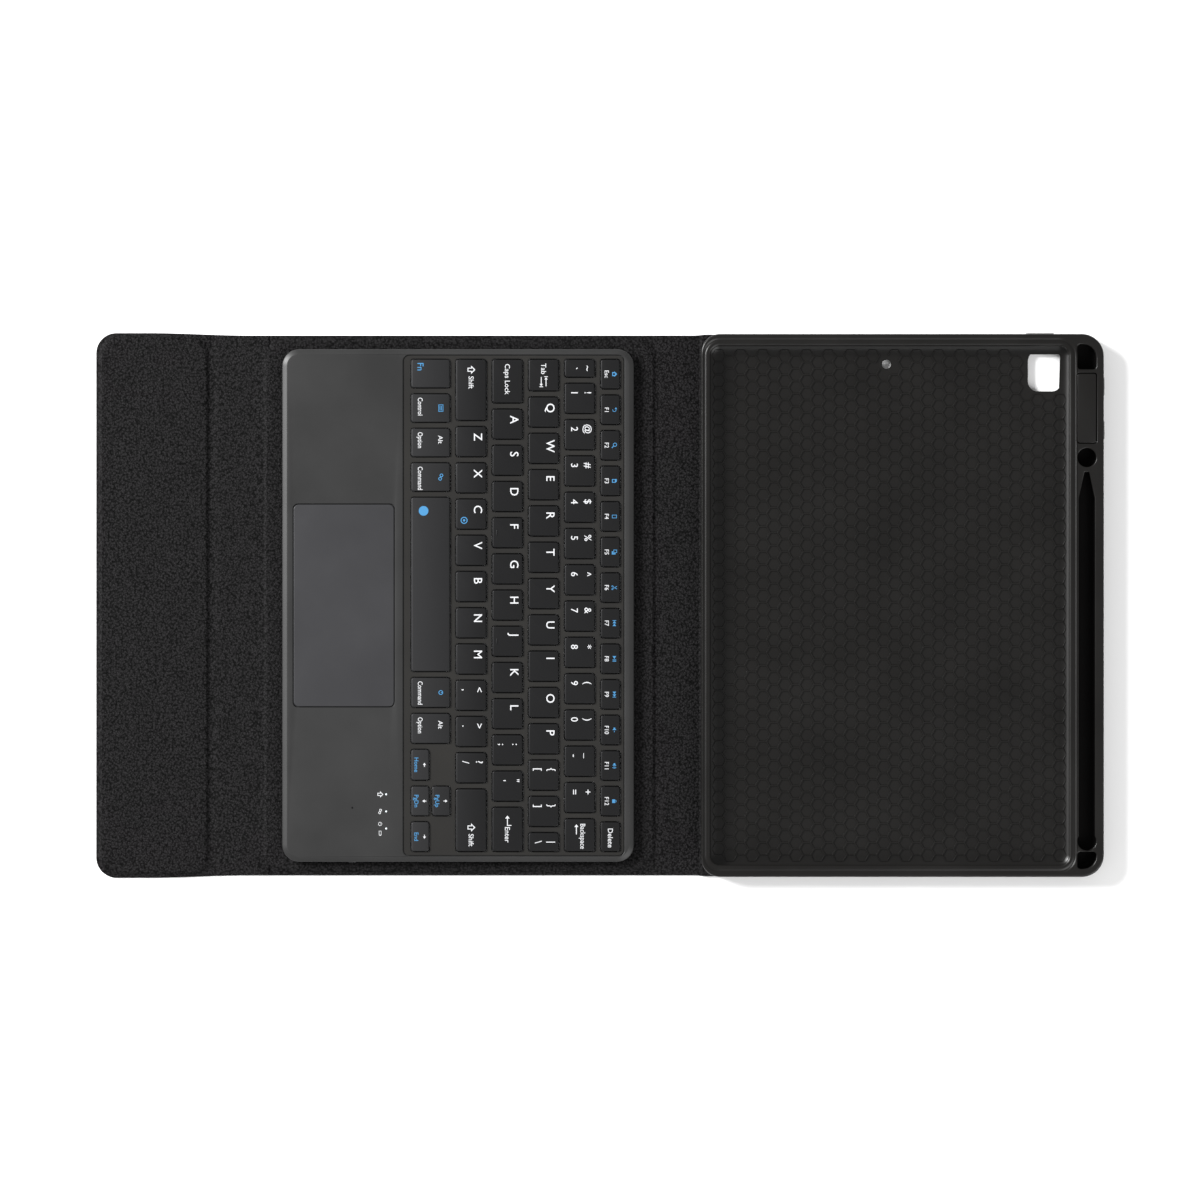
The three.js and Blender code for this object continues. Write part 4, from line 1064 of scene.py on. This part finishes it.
def letters(bm, text, x, y, height, colour, surface, anchor="left", squeeze=1.0):
    # y is the line the letters stand on, height that of a capital
    mesh = letterMesh(text)
    scale = height / extent(letterMesh("H"), 1)[1]
    low, high = extent(mesh, 0)
    shift = {"left": low, "middle": (low + high) / 2, "right": high}[anchor]
    made = []
    for v in mesh.vertices:
        z = surface + (ink["proud"] if v.co.z > 0 else -ink["sunk"])
        along, up = x + (v.co.x - shift) * scale * squeeze, y + v.co.y * scale
        made.append(bm.verts.new((along * mm, up * mm, z * mm)))
    for polygon in mesh.polygons:
        bm.faces.new([made[i] for i in polygon.vertices]).material_index = colour
    return (high - low) * scale * squeeze


def inkShape(bm, outlines, colour, surface):
    # an outline, with any holes after it, as one thin solid
    tops, bottoms = [], []
    for points in outlines:
        tops.append(addRing(bm, [(x, y, surface + ink["proud"]) for x, y in points]))
        bottoms.append(addRing(bm, [(x, y, surface - ink["sunk"]) for x, y in points]))
        bridge(bm, bottoms[-1], tops[-1], colour)
    for loops in (tops, bottoms):
        if len(loops) > 1:
            fillPlane(bm, loops, colour)
        else:
            bm.faces.new(loops[0]).material_index = colour


def bar(x0, y0, x1, y1, width=None):
    half = (width or ink["stroke"]) / 2
    length = math.hypot(x1 - x0, y1 - y0)
    nx, ny = -(y1 - y0) / length * half, (x1 - x0) / length * half
    return [(x0 + nx, y0 + ny), (x0 - nx, y0 - ny), (x1 - nx, y1 - ny), (x1 + nx, y1 + ny)]


def rectangle(x0, y0, x1, y1):
    return [(x0, y0), (x1, y0), (x1, y1), (x0, y1)]


def disc(x, y, radius, sides=18):
    return [(px, py) for px, py, _ in circle(x, y, radius, 0, sides)]


def arcBand(x, y, radius, start, end, width=None, steps=10):
    half = (width or ink["stroke"]) / 2
    angles = [math.radians(start + (end - start) * k / steps) for k in range(steps + 1)]
    outer = [(x + (radius + half) * math.cos(a), y + (radius + half) * math.sin(a)) for a in angles]
    inner = [(x + (radius - half) * math.cos(a), y + (radius - half) * math.sin(a)) for a in reversed(angles)]
    return outer + inner


def frameShape(x0, y0, x1, y1):
    t = ink["stroke"]
    return [rectangle(x0, y0, x1, y1), rectangle(x0 + t, y0 + t, x1 - t, y1 - t)]


# every mark is a list of shapes about its own centre, each an outline with its holes
speaker = [(-1.2, -0.4), (-0.7, -0.4), (0, -1.0), (0, 1.0), (-0.7, 0.4), (-1.2, 0.4)]
marks = {
    "home": [[[(-1.4, 0), (0, 1.4), (1.4, 0), (1.0, 0), (1.0, -1.1), (-1.0, -1.1), (-1.0, 0)],
              rectangle(-0.45, -0.7, 0.45, 0.35)]],
    "back": [[arcBand(0.1, 0, 0.85, -110, 110)], [[(-1.3, 0.75), (-0.3, 1.35), (-0.3, 0.2)]]],
    "search": [[disc(-0.3, 0.3, 1.0), disc(-0.3, 0.3, 0.68)], [bar(0.4, -0.4, 1.3, -1.3, 0.4)]],
    "page": [[[(-0.9, -1.2), (0.9, -1.2), (0.9, 0.5), (0.3, 1.2), (-0.9, 1.2)],
              rectangle(-0.55, -0.8, 0.5, 0.3)]],
    "tall": [[*frameShape(-0.85, -1.2, 0.85, 1.2)]],
    "copy": [[*frameShape(-1.2, -0.5, 0.4, 1.3)], [[(0.55, 0.6), (1.2, 0.6), (1.2, -1.3), (-0.4, -1.3),
                                                    (-0.4, -0.65), (0.55, -0.65)]]],
    "cut": [[bar(-0.7, 1.3, 0.5, -0.7)], [bar(0.7, 1.3, -0.5, -0.7)],
            [disc(-0.7, -1.0, 0.45, 12), disc(-0.7, -1.0, 0.2, 12)],
            [disc(0.7, -1.0, 0.45, 12), disc(0.7, -1.0, 0.2, 12)]],
    "previous": [[rectangle(-1.5, -0.9, -1.2, 0.9)], [[(-1.15, 0), (0.05, -0.9), (0.05, 0.9)]],
                 [[(0.15, 0), (1.4, -0.9), (1.4, 0.9)]]],
    "play": [[[(-1.4, -0.9), (0.1, 0), (-1.4, 0.9)]], [rectangle(0.35, -0.9, 0.7, 0.9)],
             [rectangle(1.0, -0.9, 1.35, 0.9)]],
    "next": [[[(-1.4, -0.9), (-0.15, 0), (-1.4, 0.9)]], [[(-0.05, -0.9), (1.15, 0), (-0.05, 0.9)]],
             [rectangle(1.2, -0.9, 1.5, 0.9)]],
    "quiet": [[speaker], [bar(0.4, 0, 1.1, 0)]],
    "loud": [[speaker], [arcBand(0.1, 0, 0.65, -50, 50)], [arcBand(0.1, 0, 1.2, -50, 50)]],
    "lock": [[rectangle(-0.9, -1.1, 0.9, 0.3)], [arcBand(0, 0.35, 0.55, 0, 180)]],
    "screen": [[*frameShape(-1.7, -1.1, 1.7, 1.2)], [rectangle(-1.1, -0.5, 1.1, -0.2)],
               [rectangle(-1.1, 0.2, 1.1, 0.5)]],
    "link": [[disc(-0.8, 0.3, 0.85), disc(-0.8, 0.3, 0.5)], [disc(0.8, -0.3, 0.85), disc(0.8, -0.3, 0.5)]],
    "dial": [[disc(0, 0, 1.1), disc(0, 0, 0.75)], [bar(0, 0, 0, 0.7)]],
    "ring": [[disc(0, 0, 1.75, 24), disc(0, 0, 1.3, 24)], [disc(0, 0, 0.6)]],
    "globe": [[disc(0, 0, 2.3, 32)]],
    "shift": [[[(0, 2.0), (2.0, 0), (0.95, 0), (0.95, -1.7), (-0.95, -1.7), (-0.95, 0), (-2.0, 0)],
               [(0, 1.35), (1.05, 0.35), (0.55, 0.35), (0.55, -1.3), (-0.55, -1.3), (-0.55, 0.35),
                (-1.05, 0.35)]]],
    "return": [[[(-2.4, 0), (-1.0, 1.1), (-1.0, 0.2), (2.1, 0.2), (2.1, 1.9), (2.5, 1.9), (2.5, -0.2),
                 (-1.0, -0.2), (-1.0, -1.1)]]],
    "leftArrow": [[[(-2.4, 0), (-1.1, 0.95), (-1.1, 0.22), (2.4, 0.22), (2.4, -0.22), (-1.1, -0.22),
                    (-1.1, -0.95)]]],
    "tabs": [[rectangle(-2.7, 0.3, -2.35, 2.1)],
             [[(-2.25, 1.2), (-1.1, 2.0), (-1.1, 1.4), (2.3, 1.4), (2.3, 1.0), (-1.1, 1.0), (-1.1, 0.4)]],
             [rectangle(2.35, -2.1, 2.7, -0.3)],
             [[(2.25, -1.2), (1.1, -2.0), (1.1, -1.4), (-2.3, -1.4), (-2.3, -1.0), (1.1, -1.0),
               (1.1, -0.4)]]],
    "pointer": [[[(1.15, 0), (-0.05, 0.85), (-0.05, 0.2), (-1.1, 0.2), (-1.1, -0.2), (-0.05, -0.2),
                  (-0.05, -0.85)]]],
    "powered": [[arcBand(0, 0, 1.1, 120, 420, 0.3, 14)], [rectangle(-0.15, 0, 0.15, 1.5)]],
    "charge": [[*frameShape(-1.5, -0.8, 1.3, 0.8)], [rectangle(1.35, -0.35, 1.65, 0.35)]],
}


def drawMark(bm, name, x, y, colour, surface, size=1.0, turn=0):
    c, s = math.cos(math.radians(turn)) * size, math.sin(math.radians(turn)) * size
    for outlines in marks[name]:
        placed = [[(x + px * c - py * s, y + px * s + py * c) for px, py in points] for points in outlines]
        inkShape(bm, placed, colour, surface)


def printKey(bm, box, top, legend):
    # sets out one key's print, in millimetres from its sides: kind first, then its words and marks
    left, right, near, far = box
    kind, white, blue = legend[0], ink["white"], ink["blue"]
    middle = (near + far) / 2
    if kind == "letter":
        size = ink["letter"]
        letters(bm, legend[1], left + ink["side"], far - ink["far"] - size, size, white, top)
        if len(legend) > 2:
            drawMark(bm, legend[2], right - 4.2, near + 3.9, blue, top, 0.95)
    elif kind == "pair":
        side = min(ink["side"] + 1.4, (right - left) / 2)
        letters(bm, legend[1][0], left + side, far - 1.7 - ink["digit"], ink["digit"], white, top, "middle")
        letters(bm, legend[1][1], left + side, near + 3.1, ink["digit"], white, top, "middle")
    elif kind == "word":
        start = left + legend[3]
        if legend[2] in ("shift", "return"):
            drawMark(bm, legend[2], start + 2.1, middle, white, top)
            start += 5.2
        wide = letters(bm, legend[1], start, middle - ink["word"] / 2, ink["word"], white, top)
        if legend[2] == "tabs":
            drawMark(bm, "tabs", start + wide + 3.6, middle, white, top, 0.95)
    elif kind == "backspace":
        letters(bm, legend[1], left + 2.4, middle + 0.3, ink["word"], white, top, squeeze=0.86)
        drawMark(bm, "leftArrow", left + 5.0, middle - 1.6, white, top)
    elif kind == "modifier":
        letters(bm, legend[1], left + 1.8, near + 3.2, ink["word"] * 0.95, white, top, squeeze=0.82)
        if legend[2] in marks:
            drawMark(bm, legend[2], (left + right) / 2, far - 4.4, blue, top)
        else:
            letters(bm, legend[2], left + 3.4, far - 5.6, ink["word"] * 0.9, white, top)
    elif kind == "corner":
        letters(bm, legend[1], left + 1.7, near + 3.0, ink["digit"] * 0.9, blue, top)
    elif kind == "function":
        letters(bm, legend[1], (left + right) / 2, near + 1.9, ink["small"], white, top, "middle")
        drawMark(bm, legend[2], (left + right) / 2, far - 2.7, blue, top, 0.95)
    elif kind == "arrow":
        letters(bm, legend[2], (left + right) / 2, near + 1.5, ink["small"], blue, top, "middle")
        drawMark(bm, "pointer", (left + right) / 2, far - 2.2, white, top, 0.85, legend[1])
    elif kind == "space":
        drawMark(bm, legend[1], left + 6.4, near + 5.9, blue, top)


def makeKeys():
    for node in keyPrints:
        low, high = nodeBox(node)
        bottom, top = low[2], high[2]
        boxes = keyBoxes(node)
        bm = bmesh.new()
        inset = keyShape["carrierInset"]
        # one hidden strip under the caps joins the keys of a group
        prism(bm, (low[0], high[0], low[1] + inset, high[1] - inset), [0.3] * 4,
              [(0, bottom), (0, bottom + keyShape["carrier"])], 1)
        for box, legend in zip(boxes, keyPrints[node]):
            profile = [(0, bottom)] + [(inward, top - down) for inward, down in keyShape["roll"]]
            prism(bm, box, [keyShape["radius"]] * 4, profile, 4)
            printKey(bm, box, top, legend)
            if legend[1] in ("F", "J") and legend[0] == "letter":
                x, y = (box[0] + box[1]) / 2, box[2] + keyShape["homeBarFromNear"]
                half = keyShape["homeBar"] / 2
                prism(bm, (x - half, x + half, y - 0.3, y + 0.3), [0.28] * 4,
                      [(0, top - 0.1), (0.03, top + 0.1), (0.16, top + 0.2)], 3)
        name = "".join(word.capitalize() if i else word for i, word in enumerate(node.split("_")))
        place(finishMesh(name, bm, [keyPlastic, whiteInk, blueInk]), node, node)


def makeDeckMarks():
    # indicator marks in white ink below their lenses
    bm = bmesh.new()
    spots = [planBox(node) for node in lensNodes]
    for (left, right, near, _), names in zip(spots, (("shift",), ("link",), ("powered", "charge"))):
        x = (left + right) / 2
        start = x - 2.2 * (len(names) - 1)
        for k, name in enumerate(names):
            drawMark(bm, name, start + 4.4 * k, near - 2.4, 0, deckTop, 0.75)
    piece = finishMesh("deckMarks", bm, [whiteInk])
    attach(piece, "keyboard")


makeKeys()
makeDeckMarks()
print("keys made")


# camera, light and floor
studio = {"distance": 4000, "shiftX": -2.6, "shiftY": 0.3, "lens": 251.4, "floorTone": "#f4f4f4",
          "room": 0.52, "key": 165, "fill": 60}


def makeStudio():
    floorMesh = bmesh.new()
    bmesh.ops.create_grid(floorMesh, x_segments=2, y_segments=2, size=6)
    floorLook, _, floorShader = newMaterial("seamlessPaper", 0.9)
    mottled(floorLook.node_tree, floorShader, studio["floorTone"], studio["floorTone"], 400, 0.88, 0.92)
    floor = finishMesh("studioFloor", floorMesh, [floorLook], closed=False)

    eye = bpy.data.cameras.new("eye")
    eye.lens, eye.sensor_width = studio["lens"], 36
    viewer = bpy.data.objects.new("eye", eye)
    viewer.matrix_world = Matrix(((0, -1, 0, studio["shiftX"] * mm), (1, 0, 0, studio["shiftY"] * mm),
                                  (0, 0, 1, studio["distance"] * mm), (0, 0, 0, 1)))
    bpy.context.collection.objects.link(viewer)
    bpy.context.scene.camera = viewer

    world = bpy.data.worlds.new("softRoom")
    world.use_nodes = True
    world.node_tree.nodes["Background"].inputs["Color"].default_value = srgb("#ffffff")
    # the room is seen as white as the paper, but lights the object less than that
    seen = addNode(world.node_tree, "ShaderNodeLightPath")
    level = addNode(world.node_tree, "ShaderNodeMapRange", {"Value": seen.outputs["Is Camera Ray"]},
                    To_Min=studio["room"], To_Max=1.0)
    world.node_tree.links.new(level.outputs["Result"], world.node_tree.nodes["Background"].inputs["Strength"])
    bpy.context.scene.view_settings.view_transform = "Standard"
    bpy.context.scene.world = world
    # a large soft box over the flap's end, on the Escape key's side, and a weaker one opposite
    for name, spot, size, power in (
            ("keyLight", (-0.95, -1.9, 1.5), 1.1, studio["key"]),
            ("fillLight", (1.7, 1.5, 1.9), 2.4, studio["fill"])):
        lamp = bpy.data.lights.new(name, "AREA")
        lamp.shape, lamp.size, lamp.energy = "DISK", size, power
        holder = bpy.data.objects.new(name, lamp)
        holder.location = spot
        holder.rotation_euler = (-Vector(spot)).to_track_quat("-Z", "Y").to_euler()
        bpy.context.collection.objects.link(holder)


makeStudio()
